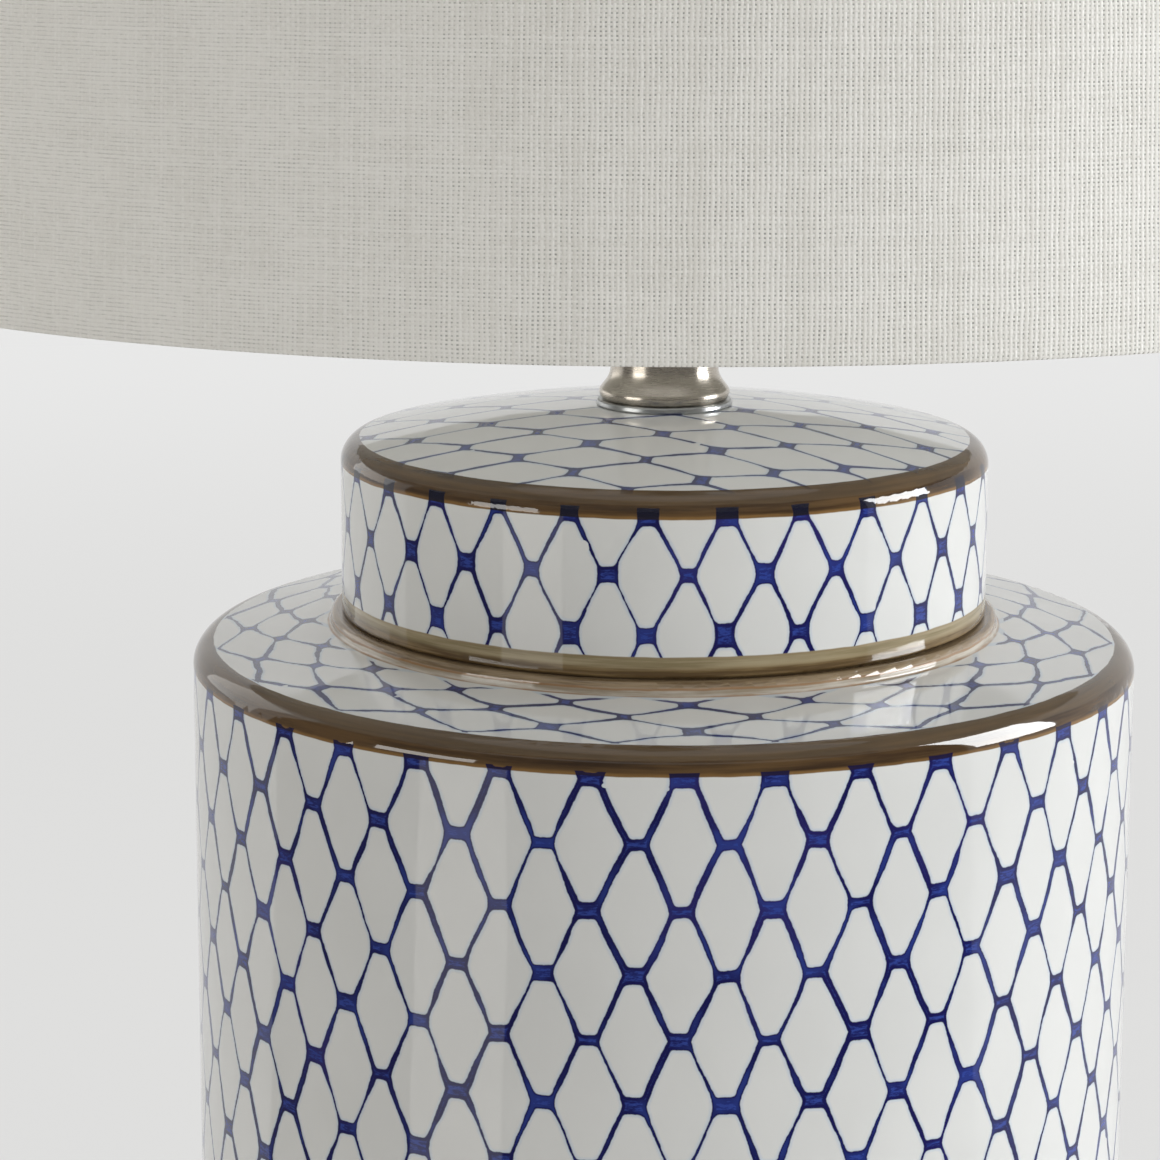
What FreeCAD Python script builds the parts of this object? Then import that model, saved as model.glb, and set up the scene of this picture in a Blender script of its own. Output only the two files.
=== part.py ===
"""Table lamp on a two-tier ceramic jar: base, neck, lamp holder, bulb, harp and drum shade.

Millimetres. The lamp stands on the plane z = 0, its axis is the Z axis, and the user's side is -Y.
Each function returns one piece of the lamp at its place in the assembled lamp.
"""

import FreeCAD
import Part
import math
import os

from FreeCAD import Vector

# Cutting tools run past the faces that they cut by this much
overrun = 5.0
# Air between pieces that move against each other without being a fit
moving_gap = 0.3
# Radial air of a shaft that turns in its bore
running_clearance = 0.06
# Radial air between a screwed piece and its plain thread
thread_clearance = 0.12

# Jar body
body_diameter = 220.0
body_side_top = 274.0
rim_round = 5.6
shoulder_rise = 4.1
collar_diameter = 156.0
collar_height = 2.9
collar_round = 1.5
mouth_diameter = 139.0
jar_wall = 6.0
jar_floor = 7.0
inner_round = 8.0
foot_round = 4.0
foot_ring_width = 15.0
foot_recess = 10.0

# Jar lid
lid_diameter = 150.6
lid_side_height = 35.1
lid_edge_round = 1.0
dome_rise = 8.4
lid_wall = 5.0
spigot_wall = 4.0
spigot_depth = 7.0
spigot_clearance = 0.8
spigot_taper = 10.0
disc_land_margin = 0.7

# Felt pads under the jar's foot ring
felt_thickness = 2.0
felt_diameter = 12.0
felt_count = 4

# Cord bush in the rear wall
bush_height = 34.0
bush_bore = 6.6
bush_wall = 2.0
bush_flange_diameter = 16.0
bush_flange_thickness = 1.8
bush_tail = 2.5
bush_clearance = 0.1
inlet_width = 14.4

# Threaded tube and what clamps the jar on it
tube_diameter = 10.0
tube_bore = 6.6
tube_hole_clearance = 0.8
tube_foot_margin = 2.5
tube_top_engagement = 8.0
base_washer_diameter = 38.0
base_washer_thickness = 2.0
lock_washer_diameter = 17.0
lock_washer_thickness = 1.2
nut_width = 14.3
base_nut_thickness = 4.0
saddle_nut_thickness = 3.0

# Seat disc and neck
disc_diameter = 31.6
disc_thickness = 1.5
disc_round = 0.5
neck_height = 50.0
neck_diameter = 24.4
neck_foot_diameter = 29.0
neck_bead_diameter = 30.9
neck_bead_height = 1.9
neck_flare_diameter = 25.2
neck_flare_height = 5.6
neck_straight_height = 14.0
neck_foot_round = 0.8
neck_bead_round = 1.5
neck_flare_round = 6.0
neck_top_round = 2.0
neck_wall = 1.2
neck_top_thickness = 3.0

# Harp saddle
saddle_thickness = 1.5
saddle_width = 16.0
saddle_arm_width = 10.0
saddle_arm_height = 16.0
saddle_bend_round = 3.0
tip_width = 3.2
tip_height = 11.0

# Harp
harp_wire = 4.0
harp_half_span = 30.0
harp_half_width = 57.0
harp_height = 241.0
harp_leg_height = 56.0
harp_belly_low = 100.0
harp_belly_high = 165.0
harp_top_half_width = 17.0
harp_leg_round = 40.0
harp_belly_round = 90.0
harp_top_round = 16.0
flat_clearance = 0.15
top_plate_length = 26.0
top_plate_width = 13.0
top_plate_thickness = 2.6
sleeve_length = 15.0
sleeve_diameter = 7.6
sleeve_clearance = 0.4
sleeve_round = 0.6

# Harp stud, on which the shade sits
rivet_diameter = 4.0
rivet_head_diameter = 8.0
rivet_head_thickness = 1.6
stud_flange_diameter = 16.0
stud_flange_thickness = 2.0
stud_diameter = 6.2
stud_height = 15.0

# Lamp holder
cap_collar_diameter = 15.0
cap_collar_height = 9.0
cap_skirt_diameter = 35.4
cap_skirt_bottom = 16.0
cap_skirt_top = 24.0
cap_wall = 0.8
cap_round = 3.0
cap_screw_diameter = 3.4
cap_screw_length = 6.0
cap_screw_head_diameter = 5.2
cap_screw_head_thickness = 1.8
shell_diameter = 33.6
shell_wall = 0.6
shell_bottom = 17.5
shell_top = 58.0
shell_bead = 0.7
shell_slot_clearance = 1.2
liner_wall = 0.8
liner_clearance = 0.1
core_clearance = 0.15
core_bottom = 18.5
core_top = 37.0
core_rim_height = 4.0
core_round = 1.0
terminal_diameter = 4.6
terminal_length = 3.0
terminal_depth = 1.6
terminal_half_spacing = 10.4
screw_shell_inner_diameter = 26.9
screw_shell_wall = 0.5
screw_shell_height = 20.0
screw_shell_hole_diameter = 9.0
contact_width = 5.0
contact_thickness = 0.5
contact_lift = 2.4

# Rotary switch
switch_height = 27.0
shaft_diameter = 3.2
shaft_inner_reach = 8.0
knob_diameter = 11.0
knob_length = 12.0
knob_gap = 3.0
knob_round = 1.6
knob_flutes = 12
flute_diameter = 1.6
knob_bore_depth = 7.0

# Bulb
bulb_length = 108.0
bulb_diameter = 60.0
bulb_cap_diameter = 26.2
bulb_cap_height = 20.0
bulb_cap_taper = 3.0
bulb_shoulder_height = 54.0
bulb_shoulder_diameter = 43.0
bulb_neck_diameter = 27.6
bulb_glass_wall = 1.2
bulb_tip_height = 3.4
bulb_tip_diameter = 9.0
bulb_cone_diameter = 17.0

# Shade
shade_bottom_diameter = 405.0
shade_top_diameter = 381.0
shade_bottom_height = 373.2
fabric_thickness = 0.7
liner_thickness = 0.6
turn_under = 9.0
fitter_drop = 12.0
ring_wire = 3.2
ring_clearance = 0.1
arm_wire = 3.2
arm_count = 3
arm_first_angle = 90.0
arm_rise_run = 24.0
arm_bend_round = 14.0
hub_diameter = 28.0
hub_thickness = 1.8
hub_hole_clearance = 0.35
hub_round = 0.6

# Finial
finial_base_diameter = 14.0
finial_base_height = 3.0
finial_waist_diameter = 7.4
finial_waist_height = 7.0
finial_ball_diameter = 18.0
finial_hole_depth = 13.0
finial_round = 0.8

# Heights that follow from the sizes above
body_radius = body_diameter / 2
collar_radius = collar_diameter / 2
lid_radius = lid_diameter / 2
tube_radius = tube_diameter / 2
foot_bottom = felt_thickness
floor_under = foot_bottom + foot_recess
floor_top = floor_under + jar_floor
shoulder_slope = math.atan(shoulder_rise / (body_radius - collar_radius))
rim_reach = rim_round * math.tan((math.pi / 2 - shoulder_slope) / 2)
side_corner = body_side_top + rim_reach
collar_foot = side_corner + shoulder_rise
lid_bottom = collar_foot + collar_height
dome_radius = (lid_radius**2 + dome_rise**2) / (2 * dome_rise)
dome_edge_slope = math.asin(lid_radius / dome_radius)
lid_rim_reach = rim_round * math.tan((math.pi / 2 - dome_edge_slope) / 2)
lid_corner = lid_bottom + lid_side_height + lid_rim_reach
dome_centre = lid_corner + dome_rise - dome_radius
disc_land_radius = disc_diameter / 2 + disc_land_margin
disc_bottom = dome_centre + math.sqrt(dome_radius**2 - disc_land_radius**2)
neck_bottom = disc_bottom + disc_thickness
neck_top = neck_bottom + neck_height
saddle_top = neck_top + saddle_thickness
holder_bottom = saddle_top + saddle_nut_thickness
tube_bottom = floor_under - base_washer_thickness - lock_washer_thickness - base_nut_thickness
tube_top = holder_bottom + tube_top_engagement
saddle_arm_top = neck_top + saddle_arm_height
tip_top = saddle_arm_top + tip_height
harp_leg_bottom = saddle_arm_top + moving_gap
harp_top = saddle_top + harp_height
stud_seat = harp_top + top_plate_thickness / 2 + moving_gap
stud_flange_top = stud_seat + stud_flange_thickness
hub_bottom = stud_flange_top + moving_gap
hub_top = hub_bottom + hub_thickness
arm_height = hub_bottom + hub_thickness / 2
ring_height = arm_height + fitter_drop
shade_top = ring_height + ring_wire / 2 + fabric_thickness
finial_bottom = hub_top + moving_gap
screw_shell_bottom = holder_bottom + core_top
contact_top = screw_shell_bottom + screw_shell_wall + contact_lift + contact_thickness
bulb_bottom = contact_top + moving_gap
shell_inner_radius = shell_diameter / 2 - shell_wall
liner_inner_radius = shell_inner_radius - liner_clearance - liner_wall
core_radius = liner_inner_radius - core_clearance
switch_axis_height = holder_bottom + switch_height


def rounded_wire(corners, closed=True):
    """Wire in the XZ plane through (x, z, round) corners, each rounded by a tangent arc."""
    count = len(corners)
    pieces = []
    for index, (x, z, radius) in enumerate(corners):
        here = Vector(x, 0, z)
        inner = closed or 0 < index < count - 1
        if not radius or not inner:
            pieces.append((here, None, here))
            continue
        last = corners[index - 1]
        following = corners[(index + 1) % count]
        back = (Vector(last[0], 0, last[1]) - here).normalize()
        ahead = (Vector(following[0], 0, following[1]) - here).normalize()
        half_angle = back.getAngle(ahead) / 2
        reach = radius / math.tan(half_angle)
        bisector = (back + ahead).normalize()
        middle = here + bisector * (radius / math.sin(half_angle) - radius)
        pieces.append((here + back * reach, middle, here + ahead * reach))
    edges = []
    for index, (start, middle, end) in enumerate(pieces):
        if middle is not None:
            edges.append(Part.Arc(start, middle, end).toShape())
        if closed or index < count - 1:
            following = pieces[(index + 1) % count][0]
            edges.append(Part.LineSegment(end, following).toShape())
    return Part.Wire(edges)


def plain(points):
    """Corners with no rounding, from (x, z) points."""
    return [(x, z, 0) for x, z in points]


def turned(corners):
    """Solid of revolution about the Z axis."""
    face = Part.Face(rounded_wire(corners))
    return face.revolve(Vector(), Vector(0, 0, 1), 360)


def tube(outer_radius, inner_radius, bottom, top):
    """Straight round tube on the Z axis."""
    outer = Part.makeCylinder(outer_radius, top - bottom, Vector(0, 0, bottom))
    bore_height = top - bottom + 2 * overrun
    bore = Part.makeCylinder(inner_radius, bore_height, Vector(0, 0, bottom - overrun))
    return outer.cut(bore)


def circles_at(shape, radius, height):
    """Circular edges of a turned solid that have this radius and height."""
    found = []
    for edge in shape.Edges:
        if edge.Degenerated or not isinstance(edge.Curve, Part.Circle):
            continue
        same_radius = math.isclose(edge.Curve.Radius, radius, rel_tol=1e-6)
        same_height = math.isclose(edge.Curve.Center.z, height, rel_tol=1e-6)
        if same_radius and same_height:
            found.append(edge)
    return found


def around(shape, count, first_angle=0.0):
    """Copies of a shape, evenly spaced about the Z axis."""
    copies = []
    for index in range(count):
        copy = shape.copy()
        copy.rotate(Vector(), Vector(0, 0, 1), first_angle + 360 * index / count)
        copies.append(copy)
    return copies


def mirrored_x(shape):
    """Mirror image of a shape on the other side of the lamp's axis."""
    return shape.mirror(Vector(), Vector(1, 0, 0))


def slab(x_size, y_size, z_size, centre_x, bottom):
    """Block centred on centre_x in X and on the axis in Y, standing at the given height."""
    corner = Vector(centre_x - x_size / 2, -y_size / 2, bottom)
    return Part.makeBox(x_size, y_size, z_size, corner)


def hex_nut(width, thickness, bottom):
    """Hexagon nut on the threaded tube."""
    corner_radius = width / math.sqrt(3)
    corners = []
    for side in range(6):
        angle = math.radians(60 * side)
        across = corner_radius * math.cos(angle)
        along = corner_radius * math.sin(angle)
        corners.append(Vector(across, along, bottom))
    outline = Part.makePolygon(corners + corners[:1])
    nut = Part.Face(outline).extrude(Vector(0, 0, thickness))
    bore_radius = tube_radius + thread_clearance
    return nut.cut(tube_cutter(bore_radius, bottom, bottom + thickness))


def tube_cutter(radius, bottom, top):
    """Round cutter on the Z axis that runs past both heights."""
    return Part.makeCylinder(radius, top - bottom + 2 * overrun, Vector(0, 0, bottom - overrun))


def inlet_block(across_flats):
    """Eight-sided block through the rear wall, centred on the cord bush."""
    corner_radius = across_flats / 2 / math.cos(math.pi / 8)
    start = body_radius - jar_wall - overrun
    corners = []
    for side in range(8):
        angle = math.pi / 8 + math.pi / 4 * side
        across = corner_radius * math.cos(angle)
        height = bush_height + corner_radius * math.sin(angle)
        corners.append(Vector(across, start, height))
    outline = Part.makePolygon(corners + corners[:1])
    return Part.Face(outline).extrude(Vector(0, jar_wall + 2 * overrun, 0))


def jar_body():
    """Straight wall on a foot ring, with a rolled rim, a sloping shoulder and a collar."""
    inner_radius = body_radius - jar_wall
    mouth_radius = mouth_diameter / 2
    ring_inner = body_radius - foot_ring_width
    shoulder_under = side_corner - jar_wall
    slope_rise = shoulder_rise * (inner_radius - mouth_radius) / (body_radius - collar_radius)
    corners = [
        (ring_inner, foot_bottom, 0),
        (body_radius, foot_bottom, foot_round),
        (body_radius, side_corner, rim_round),
        (collar_radius, collar_foot, collar_round / 2),
        (collar_radius, lid_bottom, collar_round),
        (mouth_radius, lid_bottom, 0),
        (mouth_radius, shoulder_under + slope_rise, 0),
        (inner_radius, shoulder_under, 0),
        (inner_radius, floor_top, inner_round),
        (ring_inner, floor_top, 0),
    ]
    return turned(corners).cut(inlet_block(inlet_width))


def jar_inlet():
    """The part of the jar's rear wall that holds the cord bush, hidden under the bush's flange."""
    inner_radius = body_radius - jar_wall
    wall = tube(body_radius, inner_radius, foot_bottom, body_side_top)
    bush_hole = Part.makeCylinder(
        bush_barrel_radius() + bush_clearance,
        jar_wall + 2 * overrun,
        Vector(0, inner_radius - overrun, bush_height),
        Vector(0, 1, 0),
    )
    return wall.common(inlet_block(inlet_width)).cut(bush_hole)


def jar_floor():
    """Recessed floor of the jar, with the hole for the threaded tube."""
    ring_inner = body_radius - foot_ring_width
    return tube(ring_inner, tube_radius + tube_hole_clearance, floor_under, floor_top)


def jar_lid():
    """Cap of the jar: straight side, rolled rim, low dome and a spigot that drops into the mouth."""
    inner_radius = lid_radius - lid_wall
    spigot_radius = mouth_diameter / 2 - spigot_clearance
    spigot_inner = spigot_radius - spigot_wall
    inner_dome_radius = dome_radius - lid_wall
    inner_corner = dome_centre + math.sqrt(inner_dome_radius**2 - inner_radius**2)
    inner_top = dome_centre + inner_dome_radius
    spigot_bottom = lid_bottom - spigot_depth
    points = [
        Vector(0, 0, inner_top),
        Vector(inner_radius, 0, inner_corner),
        Vector(inner_radius, 0, lid_bottom + spigot_taper),
        Vector(spigot_inner, 0, lid_bottom),
        Vector(spigot_inner, 0, spigot_bottom),
        Vector(spigot_radius, 0, spigot_bottom),
        Vector(spigot_radius, 0, lid_bottom),
        Vector(lid_radius, 0, lid_bottom),
        Vector(lid_radius, 0, lid_corner),
        Vector(0, 0, lid_corner + dome_rise),
    ]
    middle_slope = dome_edge_slope / 2

    def dome_arc(radius, start, end):
        height = dome_centre + radius * math.cos(middle_slope)
        middle = Vector(radius * math.sin(middle_slope), 0, height)
        return Part.Arc(start, middle, end).toShape()

    edges = [dome_arc(inner_dome_radius, points[0], points[1])]
    for start, end in zip(points[1:-2], points[2:-1]):
        edges.append(Part.LineSegment(start, end).toShape())
    edges.append(dome_arc(dome_radius, points[-2], points[-1]))
    edges.append(Part.LineSegment(points[-1], points[0]).toShape())
    shell = Part.Face(Part.Wire(edges)).revolve(Vector(), Vector(0, 0, 1), 360)
    shell = shell.makeFillet(rim_round, circles_at(shell, lid_radius, lid_corner))
    shell = shell.makeFillet(lid_edge_round, circles_at(shell, lid_radius, lid_bottom))
    land = Part.makeCylinder(disc_land_radius, overrun, Vector(0, 0, disc_bottom))
    hole_radius = tube_radius + tube_hole_clearance
    return shell.cut(land).cut(tube_cutter(hole_radius, spigot_bottom, disc_bottom))


def felt_pads():
    """Round felt pads glued under the foot ring."""
    pad_centre = body_radius - foot_ring_width / 2
    pad = Part.makeCylinder(felt_diameter / 2, felt_thickness, Vector(pad_centre, 0, 0))
    return around(pad, felt_count, 180 / felt_count)


def bush_barrel_radius():
    """Outer radius of the cord bush where it passes the wall."""
    return bush_bore / 2 + bush_wall


def cord_bush():
    """Flanged bush in the rear wall, with a tail inside and a flange seated on the round wall."""
    inner_radius = body_radius - jar_wall
    start = Vector(0, inner_radius - bush_tail, bush_height)
    backwards = Vector(0, 1, 0)
    outer_end = body_radius + bush_flange_thickness
    length = outer_end - start.y
    barrel = Part.makeCylinder(bush_barrel_radius(), length, start, backwards)
    flange_start = Vector(0, body_radius - bush_flange_thickness, bush_height)
    flange_length = 2 * bush_flange_thickness
    flange = Part.makeCylinder(bush_flange_diameter / 2, flange_length, flange_start, backwards)
    wall = Part.makeCylinder(body_radius, body_side_top, Vector(0, 0, 0))
    flange = flange.cut(wall)
    bore_start = start - backwards * overrun
    bore = Part.makeCylinder(bush_bore / 2, length + 2 * overrun, bore_start, backwards)
    return barrel.fuse(flange).cut(bore).removeSplitter()


def threaded_tube():
    """Hollow rod from the base nut up into the lamp holder."""
    return tube(tube_radius, tube_bore / 2, tube_bottom - tube_foot_margin, tube_top)


def base_washer():
    """Wide washer that spreads the clamping force on the jar's floor."""
    bottom = floor_under - base_washer_thickness
    return tube(base_washer_diameter / 2, tube_radius + thread_clearance, bottom, floor_under)


def base_lock_washer():
    """Split washer between the base nut and the wide washer."""
    top = floor_under - base_washer_thickness
    bottom = top - lock_washer_thickness
    ring = tube(lock_washer_diameter / 2, tube_radius + thread_clearance, bottom, top)
    thickness = lock_washer_thickness
    split = slab(lock_washer_diameter, thickness, thickness, lock_washer_diameter / 2, bottom)
    return ring.cut(split)


def base_nut():
    """Nut under the jar's floor."""
    return hex_nut(nut_width, base_nut_thickness, tube_bottom)


def saddle_nut():
    """Thin nut that clamps the harp saddle on the neck."""
    return hex_nut(nut_width, saddle_nut_thickness, saddle_top)


def seat_disc():
    """Thin polished disc under the neck."""
    radius = disc_diameter / 2
    bore_radius = tube_radius + thread_clearance
    corners = [
        (bore_radius, disc_bottom, 0),
        (radius, disc_bottom, disc_round),
        (radius, neck_bottom, disc_round),
        (bore_radius, neck_bottom, 0),
    ]
    return turned(corners)


def neck_tube():
    """Spun neck: rounded bead, flare and straight tube, closed at the top round the threaded tube."""
    radius = neck_diameter / 2
    bead_radius = neck_bead_diameter / 2
    flare_radius = neck_flare_diameter / 2
    foot_radius = neck_foot_diameter / 2
    bore_radius = tube_radius + thread_clearance
    inner_top = neck_top - neck_top_thickness
    corners = [
        (foot_radius - neck_wall, neck_bottom, 0),
        (foot_radius, neck_bottom, neck_foot_round),
        (bead_radius, neck_bottom + neck_bead_height, neck_bead_round),
        (flare_radius, neck_bottom + neck_flare_height, neck_flare_round),
        (radius, neck_bottom + neck_straight_height, 0),
        (radius, neck_top, neck_top_round),
        (bore_radius, neck_top, 0),
        (bore_radius, inner_top, 0),
        (radius - neck_wall, inner_top, neck_top_round / 2),
        (radius - neck_wall, neck_bottom + neck_straight_height, 0),
        (flare_radius - neck_wall, neck_bottom + neck_flare_height, neck_flare_round),
    ]
    return turned(corners)


def harp_saddle():
    """Bent strip clamped on the neck, with a narrow tip at the end of each arm."""
    outer = harp_half_span
    inner = outer - saddle_thickness
    inner_round_size = saddle_bend_round - saddle_thickness
    corners = [
        (-outer, tip_top, 0),
        (-outer, neck_top, saddle_bend_round),
        (outer, neck_top, saddle_bend_round),
        (outer, tip_top, 0),
        (inner, tip_top, 0),
        (inner, saddle_top, inner_round_size),
        (-inner, saddle_top, inner_round_size),
        (-inner, tip_top, 0),
    ]
    strip = Part.Face(rounded_wire(corners)).extrude(Vector(0, saddle_width, 0))
    strip.translate(Vector(0, -saddle_width / 2, 0))
    long_side = 2 * outer + 2 * overrun
    height = saddle_arm_top - neck_top
    middle = slab(2 * inner - 2 * saddle_bend_round, saddle_width, height, 0, neck_top)
    arms = slab(long_side, saddle_arm_width, height, 0, neck_top)
    tips = slab(long_side, tip_width, tip_top - neck_top, 0, neck_top)
    blank = middle.fuse(arms).fuse(tips)
    hole = tube_cutter(tube_radius + thread_clearance, neck_top, saddle_top)
    return strip.common(blank).cut(hole).removeSplitter()


def harp_bow():
    """Wire bow in the XZ plane with half-round leg ends and a flat plate at the top."""
    leg = harp_half_span
    base = saddle_top
    path_corners = [
        (leg, harp_leg_bottom, 0),
        (leg, base + harp_leg_height, harp_leg_round),
        (harp_half_width, base + harp_belly_low, harp_belly_round),
        (harp_half_width, base + harp_belly_high, harp_belly_round),
        (harp_top_half_width, harp_top, harp_top_round),
        (0, harp_top, 0),
    ]
    path = rounded_wire(path_corners, closed=False)
    section_circle = Part.Circle(Vector(leg, 0, harp_leg_bottom), Vector(0, 0, 1), harp_wire / 2)
    section = Part.Wire(section_circle.toShape())
    side = path.makePipeShell([section], True, True)
    half = side if side.ShapeType == "Solid" else Part.Solid(side.Shells[0])
    flat_height = tip_top + flat_clearance - harp_leg_bottom
    flat_centre = leg - harp_wire / 2 + flat_clearance
    flat = slab(harp_wire, harp_wire + 2 * overrun, flat_height, flat_centre, harp_leg_bottom)
    half = half.cut(flat)
    plate_bottom = harp_top - top_plate_thickness / 2
    plate = slab(top_plate_length, top_plate_width, top_plate_thickness, 0, plate_bottom)
    upright = [edge for edge in plate.Edges if abs(edge.tangentAt(0).z) > math.sqrt(0.5)]
    plate = plate.makeFillet(top_plate_width / 3, upright)
    room_length = top_plate_length - harp_wire
    room_height = harp_wire + 2 * overrun
    room = slab(room_length, top_plate_width, room_height, 0, plate_bottom - overrun)
    bow = half.fuse(mirrored_x(half)).cut(room).fuse(plate)
    hole_radius = rivet_diameter / 2 + running_clearance
    return bow.cut(tube_cutter(hole_radius, plate_bottom, harp_top)).removeSplitter()


def harp_sleeve():
    """Locking sleeve over the joint of a harp leg and the saddle's tip, on the right-hand side."""
    outer = sleeve_diameter / 2
    inner = harp_wire / 2 + sleeve_clearance
    bottom = saddle_arm_top + moving_gap
    top = bottom + sleeve_length
    corners = [
        (inner, bottom, 0),
        (outer, bottom, sleeve_round),
        (outer, top, sleeve_round),
        (inner, top, 0),
    ]
    sleeve = turned(corners)
    sleeve.translate(Vector(harp_half_span, 0, 0))
    return sleeve


def harp_stud():
    """Swivel stud: rivet through the top plate, seat flange and the threaded pin for the finial."""
    plate_under = harp_top - top_plate_thickness / 2
    head_top = plate_under - moving_gap
    corners = [
        (0, head_top - rivet_head_thickness, 0),
        (rivet_head_diameter / 2, head_top - rivet_head_thickness, rivet_head_thickness / 3),
        (rivet_head_diameter / 2, head_top, 0),
        (rivet_diameter / 2, head_top, 0),
        (rivet_diameter / 2, stud_seat, 0),
        (stud_flange_diameter / 2, stud_seat, 0),
        (stud_flange_diameter / 2, stud_flange_top, stud_flange_thickness / 3),
        (stud_diameter / 2, stud_flange_top, 0),
        (stud_diameter / 2, stud_flange_top + stud_height, stud_diameter / 6),
        (0, stud_flange_top + stud_height, 0),
    ]
    return turned(corners)


def socket_cap():
    """Lower cup of the lamp holder, screwed on the threaded tube."""
    z = holder_bottom
    collar = cap_collar_diameter / 2
    skirt = cap_skirt_diameter / 2
    bore = tube_radius + thread_clearance
    corners = [
        (bore, z, 0),
        (collar, z, 0),
        (collar, z + cap_collar_height, cap_round / 2),
        (skirt, z + cap_skirt_bottom, cap_round),
        (skirt, z + cap_skirt_top, 0),
        (skirt - cap_wall, z + cap_skirt_top, 0),
        (skirt - cap_wall, z + cap_skirt_bottom + cap_wall / 2, cap_round - cap_wall),
        (bore, z + cap_collar_height, 0),
    ]
    screw_hole = Part.makeCylinder(
        cap_screw_diameter / 2 + thread_clearance,
        cap_collar_diameter,
        Vector(0, 0, z + cap_collar_height / 2),
        Vector(0, 1, 0),
    )
    return turned(corners).cut(screw_hole)


def cap_screw():
    """Set screw that keeps the cap from turning on the threaded tube."""
    height = holder_bottom + cap_collar_height / 2
    start = tube_radius + running_clearance
    backwards = Vector(0, 1, 0)
    shank_start = Vector(0, start, height)
    shank = Part.makeCylinder(cap_screw_diameter / 2, cap_screw_length, shank_start, backwards)
    head_radius = cap_screw_head_diameter / 2
    head_thickness = cap_screw_head_thickness
    head_start = Vector(0, start + cap_screw_length - head_thickness, height)
    head = Part.makeCylinder(head_radius, head_thickness, head_start, backwards)
    slot_width = head_thickness / 2
    slot_depth_start = start + cap_screw_length - slot_width
    slot_start = Vector(-2 * head_radius, slot_depth_start, height - slot_width / 2)
    slot = Part.makeBox(4 * head_radius, head_thickness, slot_width, slot_start)
    return shank.fuse(head).cut(slot).removeSplitter()


def socket_shell():
    """Outer shell of the lamp holder, with a bead at its mouth and an opening for the switch shaft."""
    z = holder_bottom
    radius = shell_diameter / 2
    inner = radius - shell_wall
    bead_bottom = z + shell_top - 2 * shell_bead
    corners = [
        (inner, z + shell_bottom, 0),
        (radius, z + shell_bottom, 0),
        (radius, bead_bottom - shell_bead, 0),
        (radius + shell_bead, bead_bottom, shell_bead / 2),
        (radius + shell_bead, z + shell_top, shell_bead / 2),
        (inner, z + shell_top, 0),
    ]
    return turned(corners).cut(switch_opening())


def switch_opening():
    """Cutter for the round opening that the switch shaft passes through."""
    radius = shaft_diameter / 2 + shell_slot_clearance
    start = Vector(0, -core_radius, switch_axis_height)
    return Part.makeCylinder(radius, shell_diameter, start, Vector(0, -1, 0))


def socket_liner():
    """Insulating sleeve inside the shell."""
    outer = liner_inner_radius + liner_wall
    bottom = holder_bottom + shell_bottom
    top = holder_bottom + shell_top - shell_bead
    return tube(outer, liner_inner_radius, bottom, top).cut(switch_opening())


def socket_core():
    """Moulded core with the switch shaft's bore, terminal seats and a rim round the screw shell."""
    z = holder_bottom
    shell_outer = screw_shell_inner_diameter / 2 + screw_shell_wall + core_clearance
    corners = [
        (0, z + core_bottom, 0),
        (core_radius, z + core_bottom, core_round),
        (core_radius, z + core_top + core_rim_height, 0),
        (shell_outer, z + core_top + core_rim_height, 0),
        (shell_outer, z + core_top, 0),
        (0, z + core_top, 0),
    ]
    core = turned(corners)
    shaft_bore = Part.makeCylinder(
        shaft_diameter / 2 + running_clearance,
        shaft_inner_reach + core_radius,
        Vector(0, shaft_inner_reach - shaft_diameter, switch_axis_height),
        Vector(0, -1, 0),
    )
    core = core.cut(shaft_bore)
    pocket_radius = terminal_diameter / 2 + terminal_depth
    for side in (-1, 1):
        core = core.cut(terminal_solid(side, pocket_radius, terminal_length))
    return core


def terminal_solid(side, radius, reach):
    """Upright round solid at a terminal's place on the underside of the core."""
    start = Vector(side * terminal_half_spacing, 0, holder_bottom + core_bottom - overrun)
    return Part.makeCylinder(radius, overrun + reach, start)


def terminal_screws():
    """Two terminal screws, seated in their pockets under the core."""
    screws = []
    seat = holder_bottom + core_bottom + terminal_length
    for side in (-1, 1):
        centre = Vector(side * terminal_half_spacing, 0, seat - terminal_depth)
        head = Part.makeCylinder(terminal_diameter / 2, terminal_depth, centre)
        slot_depth = terminal_depth / 3
        slot_start = centre - Vector(terminal_diameter, slot_depth / 2, 0)
        slot = Part.makeBox(2 * terminal_diameter, slot_depth, slot_depth, slot_start)
        screws.append(head.cut(slot))
    return screws


def screw_shell():
    """Threaded shell that the bulb screws into, made plain, with a floor round the centre contact."""
    inner = screw_shell_inner_diameter / 2
    outer = inner + screw_shell_wall
    z = screw_shell_bottom
    corners = plain([
        (screw_shell_hole_diameter / 2, z),
        (outer, z),
        (outer, z + screw_shell_height),
        (inner, z + screw_shell_height),
        (inner, z + screw_shell_wall),
        (screw_shell_hole_diameter / 2, z + screw_shell_wall),
    ])
    return turned(corners)


def centre_contact():
    """Bent spring tongue on the core, inside the hole of the screw shell."""
    half = math.sqrt(screw_shell_hole_diameter**2 - contact_width**2) / 2 - thread_clearance
    z = screw_shell_bottom
    rise = screw_shell_wall + contact_lift
    path = [
        (-half, z, 0),
        (half, z, 0),
        (half, z + contact_thickness, 0),
        (-half + contact_thickness, z + contact_thickness, contact_thickness),
        (half - contact_thickness, z + rise, contact_thickness),
        (half - contact_thickness, z + rise + contact_thickness, 0),
        (-half, z + contact_thickness, contact_thickness),
    ]
    return tongue_strip(path)


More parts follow.
